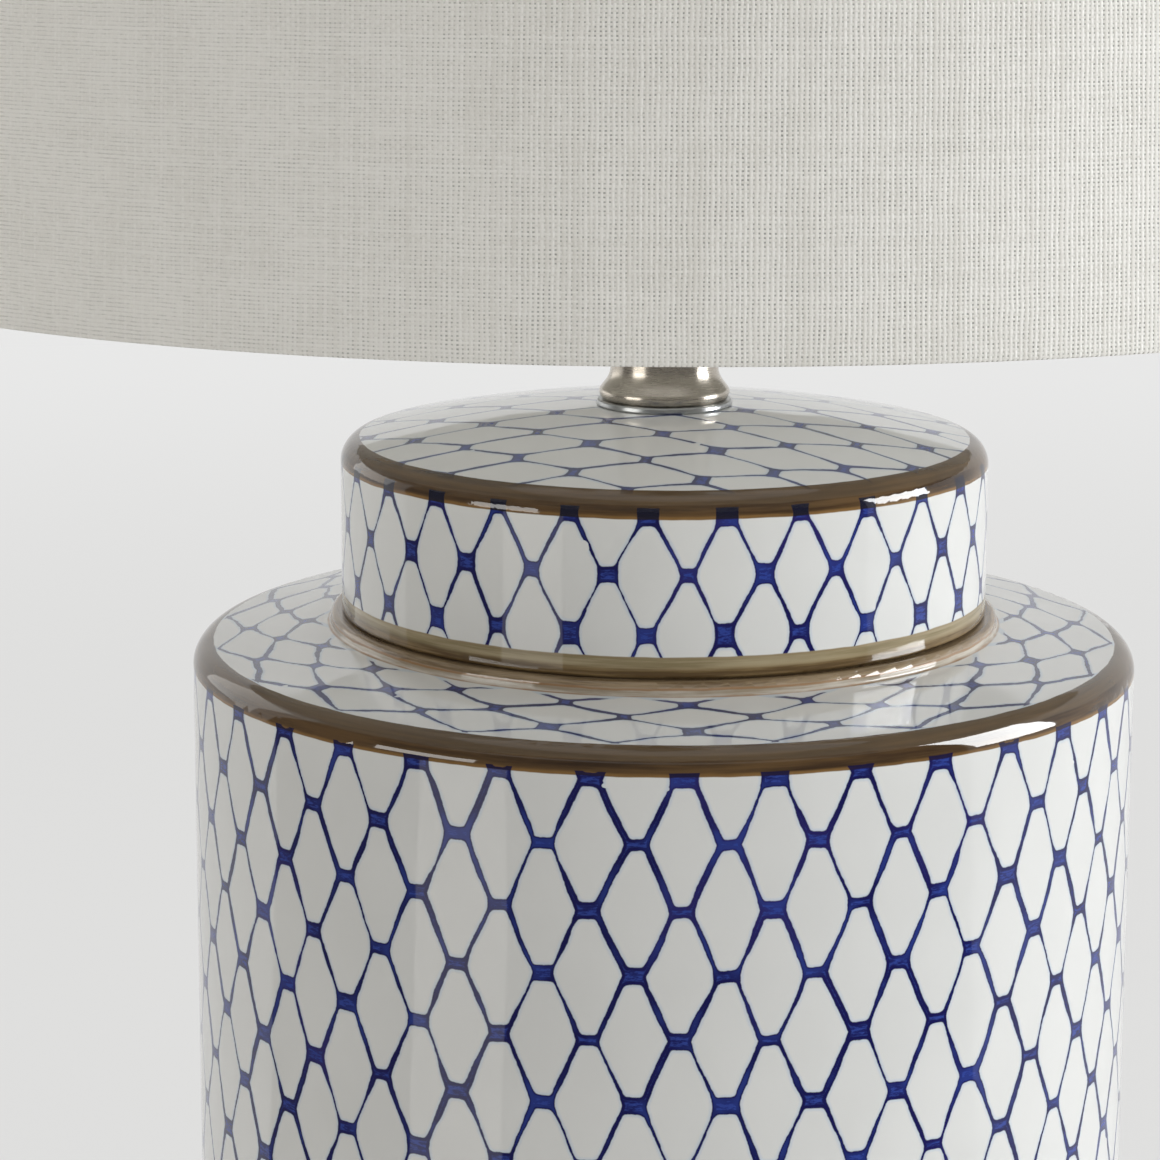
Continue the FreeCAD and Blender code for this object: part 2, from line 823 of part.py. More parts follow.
def tongue_strip(corners):
    """Strip of the contact's width, from its outline in the XZ plane."""
    strip = Part.Face(rounded_wire(corners)).extrude(Vector(0, contact_width, 0))
    strip.translate(Vector(0, -contact_width / 2, 0))
    return strip


def switch_shaft():
    """Shaft of the rotary switch, from inside the core to the knob."""
    start = Vector(0, shaft_inner_reach - shaft_diameter - running_clearance, switch_axis_height)
    length = start.y + shell_diameter / 2 + knob_gap + knob_bore_depth
    return Part.makeCylinder(shaft_diameter / 2, length, start, Vector(0, -1, 0))


def turn_knob():
    """Fluted knob on the switch shaft."""
    radius = knob_diameter / 2
    corners = [
        (0, 0, 0),
        (radius, 0, knob_round / 2),
        (radius, knob_length, knob_round),
        (0, knob_length, 0),
    ]
    knob = turned(corners)
    flute_start = Vector(radius, 0, -overrun)
    flute = Part.makeCylinder(flute_diameter / 2, knob_length + 2 * overrun, flute_start)
    knob = knob.cut(around(flute, knob_flutes))
    knob = knob.cut(Part.makeCylinder(shaft_diameter / 2, knob_bore_depth, Vector(0, 0, 0)))
    knob.rotate(Vector(), Vector(1, 0, 0), 90)
    knob.translate(Vector(0, -shell_diameter / 2 - knob_gap, switch_axis_height))
    return knob


def bulb_cap():
    """Screw cap of the bulb, made plain, open at the top for the glass."""
    radius = bulb_cap_diameter / 2
    bottom = bulb_bottom + bulb_tip_height
    corners = [
        (0, bottom, 0),
        (bulb_cone_diameter / 2, bottom, 0),
        (radius, bottom + bulb_cap_taper, 0),
        (radius, bottom + bulb_cap_height, 0),
        (0, bottom + bulb_cap_height, 0),
    ]
    return turned(corners)


def bulb_tip():
    """Insulating cone with the centre contact under the bulb's cap."""
    tip_radius = bulb_tip_diameter / 2
    cone_radius = bulb_cone_diameter / 2
    cone_top = bulb_bottom + bulb_tip_height
    button_top = bulb_bottom + bulb_tip_height / 3
    corners = [
        (0, bulb_bottom, 0),
        (tip_radius, bulb_bottom, bulb_tip_height / 4),
        (tip_radius, button_top, 0),
        (cone_radius, cone_top, 0),
        (0, cone_top, 0),
    ]
    return turned(corners)


def bulb_profile(offset):
    """Closed outline of the bulb's glass, moved inwards by offset, as a turned solid."""
    bottom = bulb_bottom + bulb_tip_height + bulb_cap_height + offset
    radius = bulb_diameter / 2 - offset
    centre = bulb_bottom + bulb_length - bulb_diameter / 2
    neck_radius = bulb_neck_diameter / 2 - offset
    shoulder_radius = bulb_shoulder_diameter / 2 - offset
    shoulder = bulb_bottom + bulb_shoulder_height
    base = Vector(0, 0, bottom)
    neck = Vector(neck_radius, 0, bottom)
    waist = Vector(shoulder_radius, 0, shoulder)
    widest = Vector(radius, 0, centre)
    diagonal = radius * math.sqrt(0.5)
    crown_middle = Vector(diagonal, 0, centre + diagonal)
    crown = Vector(0, 0, centre + radius)
    neck_bend = (neck + waist) / 2 + Vector(-offset / 2 - bulb_glass_wall, 0, 0)
    belly_bend = (waist + widest) / 2 + Vector(bulb_glass_wall, 0, 0)
    edges = [
        Part.LineSegment(base, neck).toShape(),
        Part.Arc(neck, neck_bend, waist).toShape(),
        Part.Arc(waist, belly_bend, widest).toShape(),
        Part.Arc(widest, crown_middle, crown).toShape(),
        Part.LineSegment(crown, base).toShape(),
    ]
    return Part.Face(Part.Wire(edges)).revolve(Vector(), Vector(0, 0, 1), 360)


def bulb_glass():
    """Pear-shaped glass of the bulb, hollow."""
    return bulb_profile(0).cut(bulb_profile(bulb_glass_wall))


def shade_radius(height):
    """Outer radius of the drum at a height."""
    share = (height - shade_bottom_height) / (shade_top - shade_bottom_height)
    return (shade_bottom_diameter + (shade_top_diameter - shade_bottom_diameter) * share) / 2


def cone_band(inset, thickness, bottom, top):
    """Thin conical band that follows the drum's side, inset from its outer face."""
    outer_bottom = shade_radius(bottom) - inset
    outer_top = shade_radius(top) - inset
    return turned(plain([
        (outer_bottom - thickness, bottom),
        (outer_bottom, bottom),
        (outer_top, top),
        (outer_top - thickness, top),
    ]))


def shade_fabric():
    """Linen skin of the drum, turned under the liner at both edges."""
    low = shade_bottom_height
    skin = cone_band(0, fabric_thickness, low, shade_top)
    fold_width = 2 * fabric_thickness + liner_thickness
    return_inset = fabric_thickness + liner_thickness
    lower_fold = cone_band(0, fold_width, low, low + fabric_thickness)
    upper_fold = cone_band(0, fold_width, shade_top - fabric_thickness, shade_top)
    lower_return = cone_band(return_inset, fabric_thickness, low, low + turn_under)
    upper_return = cone_band(return_inset, fabric_thickness, shade_top - turn_under, shade_top)
    return skin.fuse([lower_fold, upper_fold, lower_return, upper_return]).removeSplitter()


def shade_liner():
    """Stiff white liner that the fabric is laminated on."""
    bottom = shade_bottom_height + fabric_thickness
    return cone_band(fabric_thickness, liner_thickness, bottom, shade_top - fabric_thickness)


def frame_ring_radius(height):
    """Centre radius of a wire ring that lies inside the drum's turned-under edge."""
    skin = 2 * fabric_thickness + liner_thickness
    return shade_radius(height) - skin - ring_clearance - ring_wire / 2


def frame_ring(height):
    """Wire ring of the shade's frame."""
    return Part.makeTorus(frame_ring_radius(height), ring_wire / 2, Vector(0, 0, height))


def shade_top_ring():
    """Upper ring of the shade's frame."""
    return frame_ring(ring_height)


def shade_bottom_ring():
    """Lower ring of the shade's frame."""
    return frame_ring(shade_bottom_height + fabric_thickness + ring_wire / 2)


def spider_fitter():
    """Washer and cranked wire arms that carry the shade on the harp stud."""
    ring_radius = frame_ring_radius(ring_height)
    hub_radius = hub_diameter / 2
    start = hub_radius - arm_wire
    crank = ring_radius - arm_rise_run
    path = rounded_wire([
        (start, arm_height, 0),
        (crank, arm_height, arm_bend_round),
        (ring_radius, ring_height, 0),
    ], closed=False)
    section_circle = Part.Circle(Vector(start, 0, arm_height), Vector(1, 0, 0), arm_wire / 2)
    arm = path.makePipeShell([Part.Wire(section_circle.toShape())], True, True)
    corners = [
        (stud_diameter / 2 + hub_hole_clearance, hub_bottom, 0),
        (hub_radius, hub_bottom, hub_round),
        (hub_radius, hub_top, hub_round),
        (stud_diameter / 2 + hub_hole_clearance, hub_top, 0),
    ]
    arms = around(arm, arm_count, arm_first_angle)
    fitter = turned(corners).fuse(arms)
    return fitter.cut(shade_top_ring()).removeSplitter()


def finial():
    """Ball finial with a flat base and a blind hole for the stud."""
    base = finial_base_diameter / 2
    waist = finial_waist_diameter / 2
    z = finial_bottom
    ball_radius = finial_ball_diameter / 2
    ball_centre = z + finial_waist_height + ball_radius
    corners = [
        (0, z, 0),
        (base, z, finial_round / 2),
        (base, z + finial_base_height, finial_round),
        (waist, z + finial_base_height, finial_round),
        (waist, ball_centre, 0),
        (0, ball_centre, 0),
    ]
    body = turned(corners).fuse(Part.makeSphere(ball_radius, Vector(0, 0, ball_centre)))
    hole_radius = stud_diameter / 2 + thread_clearance
    hole = Part.makeCylinder(hole_radius, finial_hole_depth + overrun, Vector(0, 0, z - overrun))
    return body.cut(hole).removeSplitter()


pieces = {
    "jar_body": jar_body,
    "jar_inlet": jar_inlet,
    "jar_floor": jar_floor,
    "jar_lid": jar_lid,
    "felt_pads": felt_pads,
    "cord_bush": cord_bush,
    "threaded_tube": threaded_tube,
    "base_washer": base_washer,
    "base_lock_washer": base_lock_washer,
    "base_nut": base_nut,
    "seat_disc": seat_disc,
    "neck_tube": neck_tube,
    "harp_saddle": harp_saddle,
    "saddle_nut": saddle_nut,
    "socket_cap": socket_cap,
    "cap_screw": cap_screw,
    "socket_shell": socket_shell,
    "socket_liner": socket_liner,
    "socket_core": socket_core,
    "terminal_screws": terminal_screws,
    "screw_shell": screw_shell,
    "centre_contact": centre_contact,
    "switch_shaft": switch_shaft,
    "turn_knob": turn_knob,
    "bulb_cap": bulb_cap,
    "bulb_tip": bulb_tip,
    "bulb_glass": bulb_glass,
    "harp_bow": harp_bow,
    "harp_sleeve_right": harp_sleeve,
    "harp_sleeve_left": lambda: mirrored_x(harp_sleeve()),
    "harp_stud": harp_stud,
    "shade_fabric": shade_fabric,
    "shade_liner": shade_liner,
    "shade_top_ring": shade_top_ring,
    "shade_bottom_ring": shade_bottom_ring,
    "spider_fitter": spider_fitter,
    "finial": finial,
}

os.makedirs("parts", exist_ok=True)
for name, make in pieces.items():
    made = make()
    shape = Part.makeCompound(made) if isinstance(made, list) else made
    shape.exportStep(f"parts/{name}.step")
    box = shape.optimalBoundingBox()
    low = f"{box.XMin:.1f} {box.YMin:.1f} {box.ZMin:.1f}"
    high = f"{box.XMax:.1f} {box.YMax:.1f} {box.ZMax:.1f}"
    print(f"{name}: {len(shape.Solids)} solid, valid {shape.isValid()}, {low} to {high}")
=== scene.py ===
"""Table lamp: two-tier glazed jar with a painted trellis, brushed metal neck, wire harp and linen
drum shade.

The packed solids give every place and size. This file dresses them, replaces the soft or plainly
modelled ones with fuller pieces, and sets up the stage.
"""
import functools
import math

import bmesh
import bpy
from bpy.props import BoolProperty, FloatProperty, FloatVectorProperty, IntProperty, PointerProperty
from mathutils import Matrix, Vector, noise


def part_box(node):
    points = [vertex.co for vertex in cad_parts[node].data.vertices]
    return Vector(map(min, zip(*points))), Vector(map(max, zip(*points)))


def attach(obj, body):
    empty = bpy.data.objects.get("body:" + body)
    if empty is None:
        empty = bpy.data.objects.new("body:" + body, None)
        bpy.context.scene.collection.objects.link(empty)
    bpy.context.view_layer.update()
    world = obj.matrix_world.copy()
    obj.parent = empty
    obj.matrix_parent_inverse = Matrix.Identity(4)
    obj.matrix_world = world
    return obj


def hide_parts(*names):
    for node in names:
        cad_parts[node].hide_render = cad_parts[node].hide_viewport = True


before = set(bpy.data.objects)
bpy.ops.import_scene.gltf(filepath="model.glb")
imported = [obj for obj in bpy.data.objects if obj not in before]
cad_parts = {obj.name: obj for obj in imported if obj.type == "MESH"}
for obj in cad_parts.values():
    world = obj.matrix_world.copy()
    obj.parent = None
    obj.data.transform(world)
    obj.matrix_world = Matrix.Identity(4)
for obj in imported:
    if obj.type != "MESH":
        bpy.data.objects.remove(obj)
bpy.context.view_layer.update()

bl_info = {
    "name": "Trellis Jar Table Lamp",
    "version": (1, 0, 0),
    "blender": (4, 5, 0),
    "location": "3D View > Sidebar > Lamp",
    "description": "Dresses the lamp's packed solids and builds its cloth, threads and stage",
    "category": "Object",
}

MM = 0.001
TURN = 2 * math.pi


def tone(red, green, blue):
    """Linear colour from the 0 to 255 values that a screen shows."""
    linear = []
    for value in (red, green, blue):
        share = value / 255
        linear.append(share / 12.92 if share <= 0.04045 else ((share + 0.055) / 1.055) ** 2.4)
    return tuple(linear)


def colour_property(name, description, default):
    return FloatVectorProperty(
        name=name, description=description, default=default,
        subtype="COLOR", size=3, min=0, max=1,
    )


def length_property(name, description, default):
    return FloatProperty(
        name=name, description=description, default=default,
        unit="LENGTH", precision=5, min=0,
    )


def amount_property(name, description, default):
    return FloatProperty(name=name, description=description, default=default, min=0)


class TrellisPaint(bpy.types.PropertyGroup):
    """The brush trellis and the brown rims on the jar and its lid."""

    line_width: length_property("Line width", "Width of a brush line", 1.15 * MM)
    block_width: length_property("Block width", "Width of the block where lines meet", 5.2 * MM)
    block_height: length_property("Block height", "Height of the block where lines meet", 3.2 * MM)
    wander: length_property("Wander", "How far the hand strays from the true lattice", 0.38 * MM)
    jar_cells: IntProperty(name="Jar cells", description="Cells round the jar's side", default=36)
    lid_cells: IntProperty(name="Lid cells", description="Cells round the lid's side", default=28)
    shoulder_cells: IntProperty(
        name="Shoulder cells", description="Cells round the sloping shoulder", default=20)
    ink_dark: colour_property("Dark ink", "Lines and the edges of blocks", tone(10, 10, 80))
    ink_light: colour_property("Light ink", "Thin ink inside the blocks", tone(44, 66, 152))
    glaze_white: colour_property("White glaze", "The jar's ground", tone(228, 228, 226))
    rim_dark: colour_property("Dark rim glaze", "Where the brown glaze pools", tone(58, 41, 25))
    rim_light: colour_property("Light rim glaze", "Where the brown glaze is thin", tone(98, 74, 45))
    rim_amber: colour_property("Amber edge", "Thin lower edge of the brown", tone(136, 102, 58))
    # Painted reflection: greys the upper half of the brown rims as if they mirrored the pale room.
    rim_painted_reflection: colour_property("Painted rim reflection", "Greyer upper half of the brown glaze", tone(106, 90, 70))
    biscuit: colour_property("Biscuit", "Unglazed clay inside and under", tone(214, 205, 190))


class LinenWeave(bpy.types.PropertyGroup):
    """The shade's plain weave."""

    warp_pitch: length_property("Warp pitch", "Spacing of the upright threads", 0.96 * MM)
    weft_pitch: length_property("Weft pitch", "Spacing of the level threads", 0.77 * MM)
    thickness: length_property("Cloth thickness", "Thickness of the linen", 0.7 * MM)
    turn_under: length_property("Turn under", "Depth of the edge folded inside", 9 * MM)
    lap: length_property("Seam lap", "Width of the lapped seam at the rear", 12 * MM)
    thread_light: colour_property("Light thread", "Bleached threads", tone(247, 245, 240))
    thread_dark: colour_property("Dark thread", "Natural threads", tone(228, 225, 218))
    # Also the colour of the painted shade in the grooves between level threads.
    gap: colour_property("Gap And Rib Shade", "What shows between the threads", tone(168, 167, 161))


class MetalFinish(bpy.types.PropertyGroup):
    """The plated and bare metals."""

    nickel: colour_property("Nickel", "Brushed nickel plate", tone(196, 188, 176))
    steel: colour_property("Steel", "Zinc plated steel", tone(205, 207, 208))
    brass: colour_property("Brass", "Contacts and switch shaft", tone(216, 190, 118))
    aluminium: colour_property("Aluminium", "The bulb's screw cap", tone(214, 215, 216))
    grain: FloatProperty(
        name="Grain", description="Strength of the brushed grain", default=0.5, min=0, max=1)


class StageLight(bpy.types.PropertyGroup):
    """Lamps, world and floor of the studio."""

    window_right: amount_property("Right window", "Radiance of the window on the right", 14.2)
    glint_right: amount_property(
        "Right glint", "Radiance of the tall window that the glaze mirrors", 17)
    window_left: amount_property(
        "Left window", "Radiance of the window at the front left", 6.1)
    rear_fill: amount_property("Rear fill", "Radiance of the fill at the rear left", 1.0)
    side_fill: amount_property("Side fill", "Radiance of the broad fill at the front right", 2.9)
    sky: amount_property("Sky", "Even light from all round", 0.15)
    ceiling: amount_property("Ceiling", "Brighter light from overhead", 1.2)
    backdrop: amount_property("Backdrop", "Brightness of the pale backdrop", 0.81)
    dark_screen: BoolProperty(
        name="Dark screen", description="A dark screen that the metal and glaze mirror",
        default=True)
    gleam: amount_property(
        "Gleam", "Radiance of the pale strip mirrored in the jar's side", 1.2)


class Value:
    """Output of a node, which + - * and / join to other values by Math nodes."""

    def __init__(self, wiring, socket):
        self.wiring = wiring
        self.socket = socket

    def __add__(self, other):
        return self.wiring.calc("ADD", self, other)

    def __radd__(self, other):
        return self.wiring.calc("ADD", other, self)

    def __sub__(self, other):
        return self.wiring.calc("SUBTRACT", self, other)

    def __rsub__(self, other):
        return self.wiring.calc("SUBTRACT", other, self)

    def __mul__(self, other):
        return self.wiring.calc("MULTIPLY", self, other)

    def __rmul__(self, other):
        return self.wiring.calc("MULTIPLY", other, self)

    def __truediv__(self, other):
        return self.wiring.calc("DIVIDE", self, other)


class Wiring:
    """Adds shader nodes to one tree and joins them up."""

    def __init__(self, tree):
        self.tree = tree

    def feed(self, socket, value):
        """Link a socket to another, or give it a plain value."""
        if isinstance(value, Value):
            value = value.socket
        if isinstance(value, bpy.types.NodeSocket):
            self.tree.links.new(value, socket)
            return
        if socket.type == "RGBA" and len(value) == 3:
            value = (*value, 1)
        socket.default_value = value

    def add(self, kind, *values, **settings):
        node = self.tree.nodes.new(kind)
        for name, value in settings.items():
            setattr(node, name, value)
        for socket, value in zip(node.inputs, values):
            if value is not None:
                self.feed(socket, value)
        return node

    def made(self, kind, *values, output=0, **settings):
        """Output of a new node."""
        return Value(self, self.add(kind, *values, **settings).outputs[output])

    def named(self, sockets):
        """Outputs by name."""
        return {socket.name: Value(self, socket) for socket in sockets}

    def calc(self, operation, *values, clamp=False):
        return self.made("ShaderNodeMath", *values, operation=operation, use_clamp=clamp)

    def largest(self, *values):
        return self.calc("MAXIMUM", *values)

    def fade(self, value, low, high, start=0.0, end=1.0):
        """Smooth change from start to end as the value goes from low to high."""
        return self.made(
            "ShaderNodeMapRange", value, low, high, start, end, interpolation_type="SMOOTHSTEP")

    def mix(self, share, first, second):
        """Blend of two colours, whose sockets are the third pair of the node."""
        node = self.add("ShaderNodeMix", share, data_type="RGBA")
        self.feed(node.inputs[6], first)
        self.feed(node.inputs[7], second)
        return Value(self, node.outputs[2])

    def between(self, share, first, second):
        """Blend of two values."""
        return self.made("ShaderNodeMix", share, None, first, second, data_type="FLOAT")

    def cloud_node(self, place, wavelength, detail=2.0, roughness=0.5, fourth=None):
        node = self.add("ShaderNodeTexNoise")
        self.feed(node.inputs["Vector"], place)
        if fourth is not None:
            node.noise_dimensions = "4D"
            self.feed(node.inputs["W"], fourth)
        node.inputs["Scale"].default_value = 1 / wavelength
        node.inputs["Detail"].default_value = detail
        node.inputs["Roughness"].default_value = roughness
        return node

    def noise(self, *settings):
        """Cloudy value from 0 to 1. The settings are place, wavelength in millimetres, detail,
        roughness, and a fourth coordinate."""
        return Value(self, self.cloud_node(*settings).outputs[0])

    def sway(self, *settings):
        """Cloudy value about zero, from -0.5 to 0.5."""
        return self.noise(*settings) - 0.5

    def clouds(self, *settings):
        """Three cloudy values that differ."""
        return self.split(self.cloud_node(*settings).outputs[1])

    def dice(self, x, y, output="Value"):
        """Random value, or with Color three of them, for a pair of whole numbers."""
        return self.made(
            "ShaderNodeTexWhiteNoise", self.join(x, y), noise_dimensions="2D", output=output)

    def split(self, vector):
        return [Value(self, part) for part in self.add("ShaderNodeSeparateXYZ", vector).outputs]

    def join(self, x=0.0, y=0.0, z=0.0):
        return self.made("ShaderNodeCombineXYZ", x, y, z)

    def shift(self, vector, *by):
        return self.made("ShaderNodeVectorMath", vector, by, operation="ADD")

    def stretch(self, vector, *by):
        return self.made("ShaderNodeVectorMath", vector, by, operation="MULTIPLY")

    def scaled(self, vector, share):
        """Vector or colour times a value."""
        node = self.add("ShaderNodeVectorMath", vector, operation="SCALE")
        self.feed(node.inputs["Scale"], share)
        return Value(self, node.outputs[0])

    def effect(self, group, **values):
        """Place a node group, its inputs given by name with _ for a space."""
        node = self.add("ShaderNodeGroup", node_tree=group)
        for name, value in values.items():
            self.feed(node.inputs[name.replace("_", " ")], value)
        return self.named(node.outputs)

    def place_mm(self):
        """Position on the piece in millimetres."""
        return self.stretch(self.add("ShaderNodeTexCoord").outputs["Object"], *(1 / MM,) * 3)

    def bump(self, height, distance, strength=1.0):
        node = self.add("ShaderNodeBump")
        self.feed(node.inputs["Strength"], strength)
        self.feed(node.inputs["Distance"], distance)
        self.feed(node.inputs["Height"], height)
        return Value(self, node.outputs[0])

    def surface(self, **sockets):
        """The surface shader, its sockets given by name with _ for a space."""
        shader = self.add("ShaderNodeBsdfPrincipled")
        for name, value in sockets.items():
            self.feed(shader.inputs[name.replace("_", " ")], value)
        output = self.add("ShaderNodeOutputMaterial")
        self.feed(output.inputs["Surface"], shader.outputs[0])


class RoundPlace:
    """Angle from the front, radius and height about the lamp's axis, in radians and millimetres."""

    def __init__(self, wiring):
        self.position = wiring.place_mm()
        self.x, self.y, self.height = wiring.split(self.position)
        behind = self.y * -1
        self.angle = wiring.calc("ARCTAN2", self.x, behind)
        flat = wiring.join(self.x, self.y, 0)
        self.radius = wiring.made(
            "ShaderNodeVectorMath", flat, operation="LENGTH", output="Value")

    def ring(self, wiring, radius, height=0.0):
        """Point on a circle about the axis, so that a pattern closes on itself at the rear."""
        return wiring.join(
            wiring.calc("SINE", self.angle) * radius, wiring.calc("COSINE", self.angle) * radius,
            height)


NUMBER = "NodeSocketFloat"
COLOUR = "NodeSocketColor"
VECTOR = "NodeSocketVector"


def effect_group(name, inputs, outputs):
    """Turn the function below into one that gives a shader node group, made on its first call.
    inputs has the default of each number, or else the kind of the socket. The function gets the
    wiring and the inputs in their order, and returns the outputs in theirs."""

    def decorate(build):

        @functools.cache
        def group():
            tree = bpy.data.node_groups.new(name, "ShaderNodeTree")
            for label, entry in inputs.items():
                is_number = isinstance(entry, float)
                kind = NUMBER if is_number else entry
                socket = tree.interface.new_socket(label, in_out="INPUT", socket_type=kind)
                if is_number:
                    socket.default_value = entry
            for label, kind in outputs.items():
                tree.interface.new_socket(label, in_out="OUTPUT", socket_type=kind)
            wiring = Wiring(tree)
            given = wiring.named(wiring.add("NodeGroupInput").outputs)
            results = build(wiring, *(given[label] for label in inputs))
            last = wiring.add("NodeGroupOutput")
            for label, socket in zip(outputs, results):
                wiring.feed(last.inputs[label], socket)
            return tree

        return group

    return decorate


@effect_group(
    "Painted trellis",
    {
        "Position": VECTOR, "Across": 0.0, "Along": 0.0, "Half Pitch": 9.6, "Half Rise": 14.1,
        "Block Width": 2.6, "Block Height": 1.6, "Line Width": 1.15, "Wander": 0.38,
        "Breaks": 1.0,
    },
    {"Paint": NUMBER, "Depth": NUMBER, "Bleed": NUMBER})
def painted_trellis(
        w, place, across, along, half_pitch, half_rise, width, tall, line, wander, gaps):
    """Hand-painted lattice of lines with a block at each crossing. Crossings lie at (0, 0) and
    (half pitch, half rise), and a block's width and height are given as halves. Paint is a mask,
    Depth the way into the paint in millimetres, and Bleed a mask that fades out 0.9 mm past it."""
    stray = w.clouds(place, 17, 1.0)
    shake = w.clouds(place, 4.5, 1.0)

    def strayed(value, index):
        slow = (stray[index] - 0.5) * 4.2
        quick = (shake[index] - 0.5) * 1.0
        return value + (slow + quick) * wander

    across = strayed(across, 0)
    along = strayed(along, 1)
    from_side = w.calc("PINGPONG", across, half_pitch)
    from_row = w.calc("PINGPONG", along, half_rise)

    columns = across / (half_pitch * 2)
    rows = along / (half_rise * 2)
    nearness = from_side / half_pitch + from_row / half_rise
    is_mid = w.calc("GREATER_THAN", nearness, 1.0)
    column = w.between(is_mid, w.calc("ROUND", columns), w.calc("FLOOR", columns) + 0.5)
    row = w.between(is_mid, w.calc("ROUND", rows), w.calc("FLOOR", rows) + 0.5)
    draw = w.split(w.dice(column, row, "Color"))
    this_width = width * w.fade(draw[0], 0, 1, 0.82, 1.14)
    this_tall = tall * w.fade(draw[1], 0, 1, 0.72, 1.22)

    heavy = w.fade(w.noise(place, 15, 1.0), 0.34, 0.66, 0.5, 1.4)
    breaks = w.fade(w.noise(w.shift(place, 71.0, 13.0, 37.0), 8, 1.0), 0.735, 0.765)
    line_here = line * heavy - breaks * (gaps * 3)

    slim = width * 0.93
    tall_left = half_rise - tall * 2
    wide_left = half_pitch - slim * 2
    size = w.calc("SQRT", tall_left * tall_left + wide_left * wide_left)
    normal_across = tall_left / size
    normal_along = wide_left / size
    middle = (half_pitch * normal_across + half_rise * normal_along) * 0.5
    reach_across = half_pitch - this_width
    reach_along = half_rise - this_tall
    half_line = line_here * 0.5

    def cell(beside, above):
        ends = w.calc("SMOOTH_MAX", beside - reach_across, above - reach_along, 1.2)
        slant = beside * normal_across + above * normal_along
        slant = slant - middle + half_line
        return w.calc("SMOOTH_MAX", ends, slant, 1.1)

    at_front = cell(half_pitch - from_side, from_row)
    at_middle = cell(from_side, half_rise - from_row)
    depth = w.calc("MINIMUM", at_front, at_middle)
    rough = w.sway(place, 1.3) * 0.34
    depth = depth + rough
    return [w.fade(depth, -0.12, 0.12), depth, w.fade(depth, -0.9, 0.0)]


@effect_group(
    "Ink under glaze",
    {
        "Position": VECTOR, "Paint": 0.0, "Depth": 0.0, "Bleed": 0.0, "Strength": 1.0,
        "Glaze": COLOUR, "Dark Ink": COLOUR, "Light Ink": COLOUR,
    },
    {"Color": COLOUR})
def ink_under_glaze(w, place, paint, depth, bleed, strength, glaze, dark_ink, light_ink):
    """Colour of the painted ground: white glaze, brush ink, and thin ink inside the blocks."""
    thin = w.fade(depth, 0.55, 1.0)
    drawn = w.stretch(place, 0.35, 0.35, 1.5)
    mottle = w.fade(w.noise(drawn, 0.8, 3.0, 0.7), 0.40, 0.60, 0.15, 1.0)
    washed = w.fade(w.noise(place, 11, 2.0), 0.44, 0.66, 0.0, 1.0)
    inner = w.fade(depth, 0.12, 0.5) * washed
    share = w.calc("MAXIMUM", thin * mottle, inner * 0.62, clamp=True)
    violet = w.fade(w.noise(w.shift(place, 17.0, 5.0, 3.0), 40, 1.0), 0.5, 0.66, 0.0, 0.4)
    dark = w.mix(violet, dark_ink, tone(58, 50, 122))
    ink = w.mix(share, dark, light_ink)
    cloudy = w.fade(w.noise(place, 30, 2.0), 0.3, 0.7, 0.965, 1.0)
    ground = w.scaled(glaze, cloudy)
    halo = w.mix(bleed * 0.38, ground, tone(168, 196, 224))
    faint = paint * strength
    return [w.mix(faint, halo, ink)]


@effect_group(
    "Brown rim glaze",
    {"Ring": VECTOR, "Height": 0.0, "Radius": 0.0, "Dark": COLOUR, "Light": COLOUR},
    {"Color": COLOUR, "Streaks": NUMBER})
def brown_rim_glaze(w, ring, height, radius, dark, light):
    """Brown rim glaze with streaks that run round the jar."""
    x, y, _ = w.split(ring)
    streaks = w.noise(
        w.join(x * 0.045, y * 0.045, height), 1.5, 4.0, 0.62, radius)
    pools = w.noise(w.join(x * 0.2, y * 0.2, height), 4.0, 2.0, 0.5, radius)
    share = streaks * 0.75 + pools * 0.25
    colour = w.mix(w.fade(share, 0.36, 0.64), dark, light)
    return [colour, streaks]


